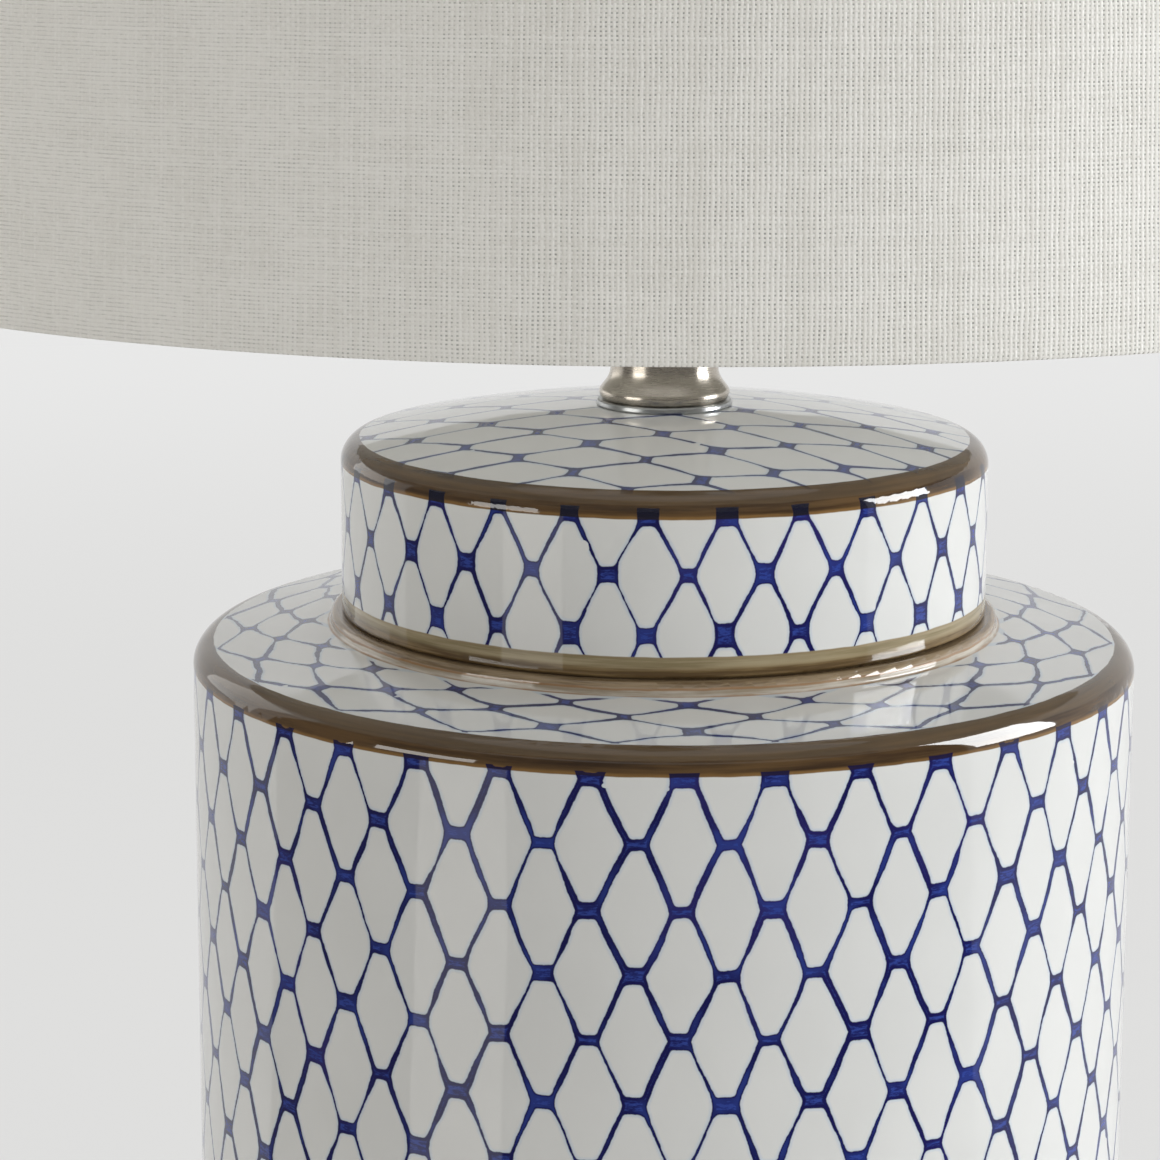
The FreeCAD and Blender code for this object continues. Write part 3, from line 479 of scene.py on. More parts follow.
@effect_group(
    "Linen weave",
    {
        "Position": VECTOR, "Around": 0.0, "Up": 0.0, "Warp Pitch": 0.96, "Weft Pitch": 0.77,
        "Weft Share": 0.0,
    },
    {"Height": NUMBER, "Gap And Rib Shade": NUMBER, "Shade": NUMBER})
def linen_weave(w, place, around, up, warp_pitch, weft_pitch, weft_and_rib_shade):
    """Plain weave. The outputs are the threads' relief; the holes between threads together with
    painted shade in the grooves between level threads; and the difference from thread to thread, in
    which level threads are painted a little darker as shade. The last input fills out the level
    threads and deepens the painted groove shade."""
    wander = 0.55
    drift = w.clouds(place, 7, 2.0)
    warps = around / warp_pitch + (drift[0] - 0.5) * wander
    wefts = up / weft_pitch + (drift[1] - 0.5) * wander
    warp_number = w.calc("FLOOR", warps)
    weft_number = w.calc("FLOOR", wefts)
    in_warp = warps - warp_number - 0.5
    in_weft = wefts - weft_number - 0.5
    parity = w.calc("MODULO", w.calc("ABSOLUTE", warp_number + weft_number), 2.0)
    side = parity * 2.0 - 1.0

    warp_draw = w.dice(warp_number, 3.0)
    weft_draw = w.dice(weft_number, 8.0)
    slub_warp = w.noise(w.join(warp_number * 7.3, up * 0.09), 1.0, 1.0)
    slub_weft = w.noise(w.join(around * 0.07, weft_number * 5.7), 1.0, 1.0)
    warp_fat = warp_draw * 0.1 + slub_warp * 0.2
    weft_fat = weft_draw * 0.06 + slub_weft * 0.2

    def crown(offset, fat, fullness):
        """Rounded section of a thread, 1 at its middle and 0 past its side."""
        half = fat + fullness
        share = offset / half
        return w.calc("SQRT", w.largest(1.0 - share * share, 0.0))

    warp = crown(in_warp, warp_fat, 0.21)
    weft = crown(in_weft, weft_fat, weft_and_rib_shade * 0.03 + 0.24)
    wave_up = w.calc("COSINE", in_weft * math.pi)
    wave_across = w.calc("COSINE", in_warp * math.pi)
    warp_over = 0.5 + side * wave_up * 0.5
    weft_over = 0.5 - side * wave_across * 0.5
    warp_height = warp * (0.74 - weft_and_rib_shade * 0.2 + warp_over * 0.26)
    weft_height = weft * (0.45 + weft_and_rib_shade * 0.16 + weft_over * 0.33)
    height = w.largest(warp_height, weft_height)
    fibres = w.noise(place, 0.28, 3.0, 0.7)
    uneven = w.fade(w.noise(place, 1.6, 2.0), 0.36, 0.66, 0.25, 1.0)
    open_weave = uneven * (1.0 - weft_and_rib_shade * 0.65)
    gap = w.fade(height, 0.58, 0.08) * open_weave
    # Painted shade: dark lines in the grooves between level threads, strongest where the last input
    # is high.
    painted_rib_shade = w.fade(weft, 0.75, 0.0) * (warp_over * 0.35 + 0.15)
    gap = w.calc("MAXIMUM", gap, painted_rib_shade * weft_and_rib_shade * uneven, clamp=True)
    on_warp = w.calc("GREATER_THAN", warp_height, weft_height)
    level = weft_draw * (0.5 - weft_and_rib_shade * 0.3)
    upright = warp_draw * (0.6 - weft_and_rib_shade * 0.3)
    # Painted shade: level threads are drawn a little darker than upright ones, as if recessed.
    shade = w.between(on_warp, level + 0.14, upright)
    shade = shade + w.sway(place, 12, 3.0) * 0.55
    shade = shade + (fibres - 0.5) * 0.7
    return [height + fibres * 0.1, gap, shade]


@effect_group(
    "Brushed grain",
    {"Position": VECTOR, "Stretched": VECTOR, "Roughness": 0.25, "Metal": COLOUR},
    {"Color": COLOUR, "Roughness": NUMBER, "Grain": NUMBER})
def brushed_grain(w, position, stretched, roughness, metal):
    """Fine turned or drawn grain. Grain is a value about 0.5 that runs along the brushing."""
    fine = w.noise(stretched, 0.16, 3.0, 0.6)
    broad = w.noise(stretched, 1.1, 2.0, 0.5)
    grain = fine * 0.7 + broad * 0.3
    shade = w.fade(grain, 0.35, 0.65, 0.9, 1.0)
    smudge = w.sway(position, 9.0, 3.0)
    dull = (grain - 0.5) * 0.25 + smudge * 0.12
    return [w.scaled(metal, shade), roughness + dull, grain]


@effect_group(
    "Handled surface",
    {"Position": VECTOR, "Color": COLOUR, "Roughness": 0.4},
    {"Color": COLOUR, "Roughness": NUMBER, "Grain": NUMBER})
def handled_surface(w, place, colour, roughness):
    """Small faults of a plain surface: clouds, specks and scuffs."""
    clouds = w.noise(place, 12.0, 3.0)
    specks = w.fade(w.noise(place, 0.9, 2.0, 0.7), 0.66, 0.74)
    scuffs = w.fade(w.noise(place, 2.4, 4.0, 0.75), 0.55, 0.8)
    shade = w.fade(clouds, 0.3, 0.7, 0.97, 1.0) - specks * 0.08
    rough = roughness + scuffs * 0.14
    grain = w.noise(place, 0.5, 3.0, 0.6) * 0.8 + specks * 0.2
    return [w.scaled(colour, shade), rough, grain]


def new_material(name):
    material = bpy.data.materials.new(name)
    material.use_nodes = True
    material.node_tree.nodes.clear()
    return material, Wiring(material.node_tree)


def dress(material, *names):
    """Give packed nodes a material."""
    for name in names:
        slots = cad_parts[name].data.materials
        slots.clear()
        slots.append(material)


def mesh_of(name, shape):
    """Mesh of a bmesh, which is freed."""
    mesh = bpy.data.meshes.new(name)
    shape.to_mesh(mesh)
    shape.free()
    return mesh


def linked(name, data):
    """New object in the scene."""
    thing = bpy.data.objects.new(name, data)
    bpy.context.scene.collection.objects.link(thing)
    return thing


def new_piece(name, body, material, mesh):
    """Link a new piece that rides on a body."""
    piece = linked(name, mesh)
    mesh.materials.append(material)
    for polygon in mesh.polygons:
        polygon.use_smooth = True
    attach(piece, body)
    return piece


def turned_mesh(name, profile, segments, bend=None, closed=True, centre=(0, 0)):
    """Mesh of revolution about an upright axis from (radius, height) points in metres. bend moves a
    point's radius and height by its angle. Points at radius 0 become one point."""
    shape = bmesh.new()
    rings = []
    for radius, height in profile:
        ring = []
        for step in range(segments):
            angle = TURN * step / segments
            r, z = bend(radius, height, angle) if bend else (radius, height)
            ring.append(shape.verts.new((
                centre[0] + r * math.sin(angle), centre[1] - r * math.cos(angle), z)))
            if radius == 0:
                ring = ring * segments
                break
        rings.append(ring)
    pairs = list(zip(rings, rings[1:] + rings[:1]))
    if not closed:
        pairs = pairs[:-1]
    for lower, upper in pairs:
        for step in range(segments):
            after = (step + 1) % segments
            corners = dict.fromkeys((lower[step], lower[after], upper[after], upper[step]))
            if len(corners) > 2:
                shape.faces.new(list(corners))
    bmesh.ops.recalc_face_normals(shape, faces=shape.faces)
    return mesh_of(name, shape)


def paint_of(context):
    """The painting's settings, and its sizes in millimetres, those of a block as halves."""
    paint = context.scene.lamp_trellis
    sizes = {
        "Block_Width": paint.block_width / MM / 2,
        "Block_Height": paint.block_height / MM / 2,
        "Line_Width": paint.line_width / MM,
        "Wander": paint.wander / MM,
    }
    return paint, sizes


def glazed_surface(w, place, colour, biscuit, bare):
    """Glossy glaze with a faint ripple, or dull bare clay where the mask bare is 1."""
    ripple = w.noise(place.position, 26.0, 1.0)
    dimple = w.noise(place.position, 3.2, 1.0)
    clay = w.noise(place.position, 0.7, 3.0, 0.7)
    relief = ripple + dimple * 0.02
    height = w.between(bare, relief, clay * 0.5)
    clay_colour = w.mix(w.fade(clay, 0.3, 0.7), biscuit, tuple(0.82 * c for c in biscuit))
    w.surface(
        Base_Color=w.mix(bare, colour, clay_colour),
        Roughness=w.between(bare, 0.035, 0.85),
        IOR=1.5,
        Normal=w.bump(height, 0.00022),
    )


def rim_colours(w, place, paint, side_radius):
    """Brown glaze of a rim, and its streaks."""
    return w.effect(
        brown_rim_glaze(),
        Ring=place.ring(w, side_radius), Height=place.height, Radius=place.radius,
        Dark=paint.rim_dark, Light=paint.rim_light,
    )


# Where a brown rim and its shades lie. Each pair holds the heights, or for inner the radii, between
# which it fades in, in millimetres.
# The upper pair of heights bounds a painted reflection that greys the rim's top, and the share sets
# its strength.
JAR_RIM = {
    "low": (273.85, 274.1), "inner": (105.05, 105.35), "amber": (275.0, 274.3),
    "painted_reflection": (277.0, 277.35), "painted_reflection_share": 0.55,
}
LID_RIM = {
    "low": (320.8, 321.05), "inner": (70.75, 71.0), "amber": (321.9, 321.3),
    "painted_reflection": (323.7, 324.05), "painted_reflection_share": 0.45,
}


def rimmed(w, place, paint, ground, rim, plan, edge, buried, buried_ink):
    """Ground with a brown rim over it: amber along its lower edge, a painted reflection greying its
    top, and dark where the trellis is buried under it. edge is how far the hand strays, in
    millimetres."""
    height = place.height + edge
    lip = w.fade(height, *plan["low"]) * w.fade(place.radius + edge, *plan["inner"])
    amber = w.fade(height, *plan["amber"]) * w.fade(rim["Streaks"], 0.3, 0.6, 0.4, 1.0)
    # Painted reflection: the top of the rim turns greyer as if it mirrored the pale surroundings.
    painted_reflection = w.fade(height, *plan["painted_reflection"]) * plan["painted_reflection_share"]
    colour = w.mix(painted_reflection, rim["Color"], paint.rim_painted_reflection)
    colour = w.mix(amber, colour, paint.rim_amber)
    return w.mix(lip, ground, w.mix(buried, colour, buried_ink))


def streaked(w, rim, low, high, dark, light):
    """Brown between two tones that follows the rim's streaks."""
    return w.mix(w.fade(rim["Streaks"], low, high), tone(*dark), tone(*light))


def inked(w, place, paint, trellis, strength=1.0):
    """Colour of a trellis on the white glaze."""
    return w.effect(
        ink_under_glaze(),
        Position=place.position, Paint=trellis["Paint"], Depth=trellis["Depth"],
        Bleed=trellis["Bleed"], Strength=strength, Glaze=paint.glaze_white,
        Dark_Ink=paint.ink_dark, Light_Ink=paint.ink_light,
    )["Color"]


def jar_material(context):
    """White glaze with the trellis on the side and shoulder, brown rim, collar and foot."""
    paint, sizes = paint_of(context)
    material, w = new_material("Glazed jar")
    place = RoundPlace(w)
    side_radius = 110.0
    half_pitch = math.pi * side_radius / paint.jar_cells
    turned_by, crossing_height, half_rise = math.radians(2.2), 273.4, 14.1
    side = w.effect(
        painted_trellis(), Position=place.position,
        Across=(place.angle - turned_by) * side_radius, Along=place.height - crossing_height,
        Half_Pitch=half_pitch, Half_Rise=half_rise, **sizes)

    crossing_radius, shoulder_turned_by = 83.2, math.radians(3.8)
    small = w.fade(place.radius, 100.0, 102.5, 1.0, 0.25)
    shoulder = w.effect(
        painted_trellis(), Position=place.position, Across=place.radius - crossing_radius,
        Along=(place.angle - shoulder_turned_by) * place.radius, Half_Pitch=7.15,
        Half_Rise=place.radius * (math.pi / paint.shoulder_cells), Block_Width=small * 1.7,
        Block_Height=small * 2.0, Line_Width=0.95, Wander=sizes["Wander"] * 1.5, Breaks=1.0)
    inner_end = w.fade(place.radius + w.sway(place.position, 5.0) * 1.3, 79.8, 80.2)
    outer_end = w.fade(place.radius, 104.9, 104.6)
    shoulder_strength = inner_end * outer_end * 0.9
    on_top = w.fade(place.height, 277.4, 277.6)
    colour = w.mix(
        on_top, inked(w, place, paint, side), inked(w, place, paint, shoulder, shoulder_strength))

    edge = w.sway(place.position, 8.0) * 0.5
    uneven_height = place.height + edge
    rim = rim_colours(w, place, paint, side_radius)
    buried = side["Paint"] * w.fade(uneven_height, 274.95, 274.8, 0.0, 0.96)
    colour = rimmed(w, place, paint, colour, rim, JAR_RIM, edge, buried, tone(12, 8, 58))

    ragged = place.height + edge * 1.4
    collar = w.fade(place.radius + edge * 0.8, 78.9, 78.4) * w.fade(place.height, 280.0, 280.2)
    flank = streaked(w, rim, 0.35, 0.65, (158, 144, 124), (206, 198, 186))
    band = streaked(w, rim, 0.35, 0.6, (112, 92, 68), (156, 136, 108))
    collar_colour = w.mix(w.fade(ragged, 284.5, 285.1), flank, band)
    under_band = w.fade(ragged, 284.1, 284.4) * w.fade(ragged, 284.95, 284.6)
    orange = w.largest(under_band, w.fade(ragged, 283.3, 282.9))
    collar_colour = w.mix(orange * 0.75, collar_colour, tone(150, 108, 62))
    colour = w.mix(collar, colour, collar_colour)

    foot_colour = w.mix(w.fade(uneven_height, 10.4, 11.4), rim["Color"], paint.rim_amber)
    colour = w.mix(w.fade(uneven_height, 12.2, 11.8), colour, foot_colour)

    inside = w.fade(place.radius, 104.6, 104.3) * w.fade(place.height, 276.0, 275.5)
    under = w.fade(place.height, 2.6, 2.2)
    bare = w.largest(inside, under)
    glazed_surface(w, place, colour, paint.biscuit, bare)
    return material


def lid_material(context):
    """White glaze with a trellis on the top and side, and brown rims."""
    paint, sizes = paint_of(context)
    material, w = new_material("Glazed lid")
    place = RoundPlace(w)
    side_radius = 75.3
    half_pitch = math.pi * side_radius / paint.lid_cells
    turned_by, crossing_height, half_rise = math.radians(-2.6), 321.9, 13.25
    slim = {**sizes, "Block_Width": 2.1, "Block_Height": 2.2, "Line_Width": 0.8}
    side = w.effect(
        painted_trellis(), Position=place.position,
        Across=(place.angle - turned_by) * side_radius, Along=place.height - crossing_height,
        Half_Pitch=half_pitch, Half_Rise=half_rise, **slim)

    lean = math.radians(-10.6)
    crossing_x, crossing_y = 8.0, -64.65
    east = place.x - crossing_x
    north = place.y - crossing_y
    long_way = east * math.cos(lean) + north * math.sin(lean)
    short_way = east * -math.sin(lean) + north * math.cos(lean)
    top = w.effect(
        painted_trellis(), Position=place.position, Across=short_way, Along=long_way,
        Half_Pitch=9.74, Half_Rise=14.17, Block_Width=2.5, Block_Height=1.7,
        Line_Width=0.95, Wander=sizes["Wander"], Breaks=0.6)
    on_top = w.fade(place.height, 324.4, 324.6)
    colour = w.mix(on_top, inked(w, place, paint, side), inked(w, place, paint, top, 0.88))

    edge = w.sway(place.position, 8.0) * 0.45
    uneven_height = place.height + edge
    rim = rim_colours(w, place, paint, side_radius)
    buried = side["Paint"] * w.fade(uneven_height, 323.5, 323.2, 0.0, 0.96)
    faint = top["Paint"] * w.fade(place.radius, 73.2, 71.0, 0.0, 0.45)
    buried = w.largest(buried, faint)
    colour = rimmed(w, place, paint, colour, rim, LID_RIM, edge, buried, tone(6, 12, 40))

    tan = streaked(w, rim, 0.35, 0.65, (138, 124, 92), (172, 158, 128))
    brown = streaked(w, rim, 0.4, 0.6, (94, 74, 46), (134, 112, 76))
    band = w.mix(w.fade(uneven_height, 289.2, 287.8), tan, brown)
    dark_line = w.fade(place.height + edge * 0.6, 286.75, 286.35)
    band = w.mix(dark_line * 0.6, band, tone(60, 48, 36))
    top_line = w.fade(uneven_height, 290.3, 290.7) * 0.5
    band = w.mix(top_line, band, tone(150, 132, 100))
    colour = w.mix(w.fade(uneven_height, 291.1, 290.8), colour, band)

    inside = w.fade(place.radius, 70.6, 70.3)
    below = w.fade(place.height, 320.0, 319.0)
    glazed_surface(w, place, colour, paint.biscuit, inside * below)
    return material


def brushed_material(name, metal, roughness, grain, turned=True, radial=False):
    """Metal with fine grain: rings about the lamp's axis where it is turned, else upright lines.
    radial is for a turned piece whose rings show on its top."""
    material, w = new_material(name)
    place = RoundPlace(w)
    if turned:
        level = place.height - place.radius if radial else place.height
        stretched = place.ring(w, 0.6, level)
    else:
        stretched = w.stretch(place.position, 1.0, 1.0, 0.06)
    brushed = w.effect(
        brushed_grain(), Position=place.position, Stretched=stretched,
        Roughness=roughness, Metal=metal)
    w.surface(
        Base_Color=brushed["Color"],
        Metallic=1.0,
        Roughness=brushed["Roughness"],
        Anisotropic=0.75 if turned else 0.0,
        Anisotropic_Rotation=0.25,
        Normal=w.bump(brushed["Grain"], 0.03 * MM, grain),
    )
    return material


# Colour, roughness, grain size in millimetres, and depth of the relief in metres.
PLAIN_FINISHES = {
    "White liner": (tone(238, 238, 234), 0.55, 0.5, 0.00003),
    "White coated wire": (tone(228, 228, 224), 0.35, 1.4, 0.00006),
    "Insulating card": (tone(92, 74, 56), 0.85, 0.4, 0.00008),
    "Moulded core": (tone(38, 35, 32), 0.35, 0.8, 0.00003),
    "Black knob": (tone(34, 33, 33), 0.32, 0.6, 0.00003),
    "Bulb insulator": (tone(24, 24, 28), 0.18, 0.8, 0.00002),
    "Frosted glass": (tone(246, 246, 243), 0.42, 0.35, 0.00002),
    "Grey felt": (tone(158, 152, 145), 1.0, 0.25, 0.0002),
    "Moulded bush": (tone(222, 221, 216), 0.42, 0.7, 0.00003),
}


def plain_material(name, **sockets):
    """Moulded, coated or pressed finish with small faults."""
    colour, roughness, grain_size, relief = PLAIN_FINISHES[name]
    material, w = new_material(name)
    position = w.place_mm()
    handled = w.effect(
        handled_surface(), Position=position, Color=colour, Roughness=roughness)
    fine = w.noise(position, grain_size, 3.0, 0.6)
    height = handled["Grain"] * 0.4 + fine
    w.surface(
        Base_Color=handled["Color"],
        Roughness=handled["Roughness"],
        Normal=w.bump(height, relief),
        **sockets,
    )
    return material


def linen_material(context):
    """Bleached linen, with gaps between the threads, a few darker threads, and painted shade
    between the level threads toward the left.
    """
    weave = context.scene.lamp_linen
    material, w = new_material("Shade linen")
    place = RoundPlace(w)
    low_radius = 202.5 * MM
    threads_round = round(TURN * low_radius / weave.warp_pitch)
    around = place.angle * (threads_round * weave.warp_pitch / MM / TURN)
    # Toward the left the level threads grow fuller and painted shade fills the grooves between
    # them, standing in for light from above there.
    leaning = w.noise(place.position, 40, 2.0) * 60
    woven = w.effect(
        linen_weave(), Position=place.position, Around=around, Up=place.height,
        Warp_Pitch=weave.warp_pitch / MM, Weft_Pitch=weave.weft_pitch / MM,
        Weft_Share=w.fade(place.x + leaning, 50, -90))
    thread = w.mix(w.fade(woven["Shade"], 0.0, 1.0), weave.thread_light, weave.thread_dark)
    colour = w.mix(woven["Gap And Rib Shade"], thread, weave.gap)
    w.surface(
        Base_Color=colour,
        Roughness=0.9,
        Specular_IOR_Level=0.25,
        Sheen_Weight=0.1,
        Sheen_Roughness=0.5,
        Normal=w.bump(woven["Height"], 0.00015),
    )
    return material


def linen_profile(weave, outer_low, outer_high, low, high):
    """Closed section of the linen: outer face, folded edges and the turned-under returns."""
    thick = weave.thickness
    fold = 3 * thick
    rows_outside, rows_inside, fold_steps = 36, 4, 6

    def outer(height):
        return outer_low + (outer_high - outer_low) * (height - low) / (high - low)

    def folded(edge, inward):
        """From the outer face round a folded edge, along its return and back to the inner face."""
        points = []
        for step in range(1, fold_steps):
            angle = math.pi * step / fold_steps
            points.append((
                outer(edge) - fold / 2 + fold / 2 * math.cos(angle),
                edge + inward * (thick - thick * math.sin(angle))))
        end, start = edge + inward * weave.turn_under, edge + inward * thick
        root = edge + inward * 1.6 * thick
        points += [(outer(edge) - fold, start), (outer(end) - fold, end)]
        points += [(outer(end) - 2 * thick, end), (outer(start) - 2 * thick, root)]
        return points + [(outer(start) - thick, root)]

    profile = []
    for row in range(rows_outside + 1):
        height = low + thick + (high - low - 2 * thick) * row / rows_outside
        profile.append((outer(height), height))
    profile += folded(high, -1)
    for row in range(1, rows_inside):
        height = high + (low - high) * row / rows_inside
        profile.append((outer(height) - thick, height))
    return profile + folded(low, 1)[::-1]


class LampPiece(bpy.types.Operator):
    """Common ground of the lamp's operators, each of which has its own build."""

    bl_options = {"REGISTER", "UNDO"}

    def execute(self, context):
        self.build(context)
        return {"FINISHED"}


class LAMP_OT_jar(LampPiece):
    """Glaze and paint the jar"""

    bl_idname = "lamp.jar"
    bl_label = "Glazed jar"

    def build(self, context):
        dress(jar_material(context), "jar_body", "jar_inlet", "jar_floor")


class LAMP_OT_lid(LampPiece):
    """Glaze and paint the jar's lid"""

    bl_idname = "lamp.lid"
    bl_label = "Glazed lid"

    def build(self, context):
        dress(lid_material(context), "jar_lid")


class LAMP_OT_shade(LampPiece):
    """Make the linen skin with its folded edges and rear seam"""

    bl_idname = "lamp.shade"
    bl_label = "Linen shade"

    def build(self, context):
        weave = context.scene.lamp_linen
        low_corner, high_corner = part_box("shade_fabric")
        low, high = low_corner.z, high_corner.z
        outer_low = high_corner.x
        wire_and_cloth = 2.05 * MM
        top_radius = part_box("shade_top_ring")[1].x + wire_and_cloth
        profile = linen_profile(weave, outer_low, top_radius, low, high)
        lap_angle = weave.lap / outer_low
        lap_height = 0.9 * weave.thickness
        swell_height = 0.25 * MM

        def bend(radius, height, angle):
            """Swell the cloth a little, and raise its outer face where the seam is lapped."""
            place = Vector((math.sin(angle), math.cos(angle), height * 5))
            swell = noise.noise(place * 2.4) * swell_height
            past = (angle - math.pi) / lap_angle
            lap = lap_height * max(0.0, 1 - past) if 0 <= past < 1 else 0.0
            outer = outer_low - (outer_low - top_radius) * (height - low) / (high - low)
            is_outer = radius > outer - 0.4 * weave.thickness
            return radius + swell + (lap if is_outer else 0.0), height

        mesh = turned_mesh("linen_skin", profile, 720, bend)
        skin = new_piece("linen_skin", "shade", linen_material(context), mesh)
        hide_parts("shade_fabric")


class LAMP_OT_shade_frame(LampPiece):
    """Finish the liner, the wire rings and the spider fitter"""

    bl_idname = "lamp.shade_frame"
    bl_label = "Shade frame"

    def build(self, context):
        liner = plain_material("White liner")
        wire = plain_material("White coated wire", Coat_Weight=0.3)
        dress(liner, "shade_liner")
        dress(wire, "shade_top_ring", "shade_bottom_ring", "spider_fitter")


class LAMP_OT_neck(LampPiece):
    """Finish the neck and the polished disc under it"""

    bl_idname = "lamp.neck"
    bl_label = "Neck and disc"

    def build(self, context):
        metal = context.scene.lamp_metal
        dress(brushed_material("Brushed neck", metal.nickel, 0.26, metal.grain * 0.5), "neck_tube")
        disc = brushed_material(
            "Polished disc", tone(186, 188, 188), 0.3, metal.grain * 0.8, radial=True)
        dress(disc, "seat_disc")


class LAMP_OT_finial(LampPiece):
    """Finish the finial"""

    bl_idname = "lamp.finial"
    bl_label = "Finial"

    def build(self, context):
        metal = context.scene.lamp_metal
        dress(brushed_material("Turned finial", metal.nickel, 0.24, metal.grain), "finial")


class LAMP_OT_harp(LampPiece):
    """Finish the harp, its saddle, sleeves and swivel stud"""

    bl_idname = "lamp.harp"
    bl_label = "Harp set"

    def build(self, context):
        metal = context.scene.lamp_metal
        drawn = brushed_material("Drawn nickel wire", metal.nickel, 0.30, metal.grain, turned=False)
        turned = brushed_material("Turned nickel", metal.nickel, 0.26, metal.grain)
        dress(drawn, "harp_bow", "harp_saddle")
        dress(turned, "harp_sleeve_right", "harp_sleeve_left", "harp_stud")


class LAMP_OT_holder(LampPiece):
    """Finish the lamp holder's shell, cap, liner, core and contacts"""

    bl_idname = "lamp.holder"
    bl_label = "Lamp holder"

    def build(self, context):
        metal = context.scene.lamp_metal
        shell = brushed_material("Plated shell", metal.nickel, 0.26, metal.grain * 0.6)
        card = plain_material("Insulating card")
        core = plain_material("Moulded core")
        brass = brushed_material("Plain brass", metal.brass, 0.28, metal.grain * 0.5)
        dress(shell, "socket_shell", "socket_cap")
        dress(card, "socket_liner")
        dress(core, "socket_core")
        dress(brass, "screw_shell", "centre_contact", "terminal_screws", "switch_shaft")


class LAMP_OT_knob(LampPiece):
    """Finish the switch knob"""

    bl_idname = "lamp.knob"
    bl_label = "Switch knob"

    def build(self, context):
        black = plain_material("Black knob", Coat_Weight=0.2)
        dress(black, "turn_knob")


class LAMP_OT_bulb(LampPiece):
    """Make the bulb's rolled screw cap and finish its glass"""

    bl_idname = "lamp.bulb"
    bl_label = "Bulb"

    def build(self, context):
        metal = context.scene.lamp_metal
        low_corner, high_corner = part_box("bulb_cap")
        low, high, radius = low_corner.z, high_corner.z, high_corner.x
        pitch = 3.63 * MM
        depth = 0.9 * MM
        thread_low = low + 3.6 * MM
        thread_high = high - 3.4 * MM
        run_out = 1.2 * MM
        rows = 96
        bottom = 8.4 * MM
        cone = 3 * MM
        profile = [(0, low), (bottom, low), (bottom + 0.2 * MM, low + 0.1 * MM)]
        for row in range(rows + 1):
            height = low + cone + (high - low - cone) * row / rows
            profile.append((radius - 0.02 * MM, height))
        profile += [(radius - 0.5 * MM, high), (0, high)]

        def roll(r, height, angle):
            """Press the rounded thread into the side, and let it run out at both ends."""
            if r < 10 * MM:
                return r, height
            from_ends = min(height - thread_low, thread_high - height)
            share = min(1.0, max(0.0, from_ends / run_out))
            wave = 0.5 - 0.5 * math.cos(TURN * height / pitch - angle)
            return r - depth * wave * share, height

        aluminium = brushed_material("Bulb cap", metal.aluminium, 0.30, metal.grain * 0.4)
        mesh = turned_mesh("bulb_screw_cap", profile, 96, roll, closed=False)
        cap = new_piece("bulb_screw_cap", "bulb", aluminium, mesh)
        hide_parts("bulb_cap")
        dress(plain_material("Bulb insulator"), "bulb_tip")
        glass = plain_material("Frosted glass", Transmission_Weight=0.3, IOR=1.45)
        dress(glass, "bulb_glass")


class LAMP_OT_hardware(LampPiece):
    """Make the threaded tube and finish its nuts, washers and set screw"""

    bl_idname = "lamp.hardware"
    bl_label = "Clamping hardware"

    def build(self, context):
        metal = context.scene.lamp_metal
        low_corner, high_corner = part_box("threaded_tube")
        low, high, radius = low_corner.z, high_corner.z, high_corner.x
        bore = 3.3 * MM
        pitch = 1.0 * MM
        depth = 0.55 * MM
        threaded_low = low + 20 * MM
        threaded_high = high - 26 * MM
        heights = []
        height = low
        while height < high:
            heights.append(height)
            in_thread = height < threaded_low or height > threaded_high
            height += pitch / 6 if in_thread else 6 * MM
        heights.append(high)
        profile = [(bore, low)]
        profile += [(radius - 0.01 * MM, height) for height in heights]
        profile += [(bore, high)]

        def cut_thread(r, height, angle):
            if r <= bore:
                return r, height
            wave = abs(((height / pitch - angle / TURN) % 1) * 2 - 1)
            in_thread = height < threaded_low + pitch or height > threaded_high - pitch
            chamfer = max(0.0, 0.5 * MM - min(height - low, high - height))
            return r - (depth * wave if in_thread else 0.0) - 0.6 * chamfer, height

        zinc = brushed_material("Zinc plated steel", metal.steel, 0.34, metal.grain)
        mesh = turned_mesh("threaded_rod", profile, 48, cut_thread)
        rod = new_piece("threaded_rod", "base", zinc, mesh)
        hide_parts("threaded_tube")
        dress(zinc, "base_washer", "base_lock_washer", "base_nut", "saddle_nut", "cap_screw")


class LAMP_OT_felt(LampPiece):
    """Make the felt pads under the foot"""

    bl_idname = "lamp.felt"
    bl_label = "Felt pads"

    def build(self, context):
        low_corner, high_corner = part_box("felt_pads")
        radius = 6 * MM
        reach = high_corner.x - radius
        thick = high_corner.z - low_corner.z
        felt = plain_material("Grey felt", Sheen_Weight=0.4)
        shape = bmesh.new()
        for corner in range(4):
            angle = math.pi / 4 + math.pi / 2 * corner
            centre = [math.sqrt(2) * reach * part for part in (math.cos(angle), math.sin(angle))]

            def fuzz(r, height, turn):
                x, y = centre[0] + r * math.cos(turn), centre[1] + r * math.sin(turn)
                rough = abs(noise.noise(Vector((x, y, height)) * 900) * 0.12 * MM)
                return max(0.0, r - rough), min(thick, max(0.0, height - rough * 0.3))

            profile = [
                (0, 0.0), (radius * 0.5, 0.0), (radius - 0.35 * MM, 0.0),
                (radius - 0.08 * MM, 0.3 * MM), (radius, 0.8 * MM), (radius, thick - 0.4 * MM),
                (radius - 0.15 * MM, thick), (radius * 0.5, thick), (0, thick)]
            pad = turned_mesh("felt_pad", profile, 48, fuzz, closed=False, centre=centre)
            shape.from_mesh(pad)
            bpy.data.meshes.remove(pad)
        pads = new_piece("felt_discs", "base", felt, mesh_of("felt_discs", shape))
        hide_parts("felt_pads")


class LAMP_OT_bush(LampPiece):
    """Finish the cord bush in the rear wall"""

    bl_idname = "lamp.bush"
    bl_label = "Cord bush"

    def build(self, context):
        dress(plain_material("Moulded bush"), "cord_bush")


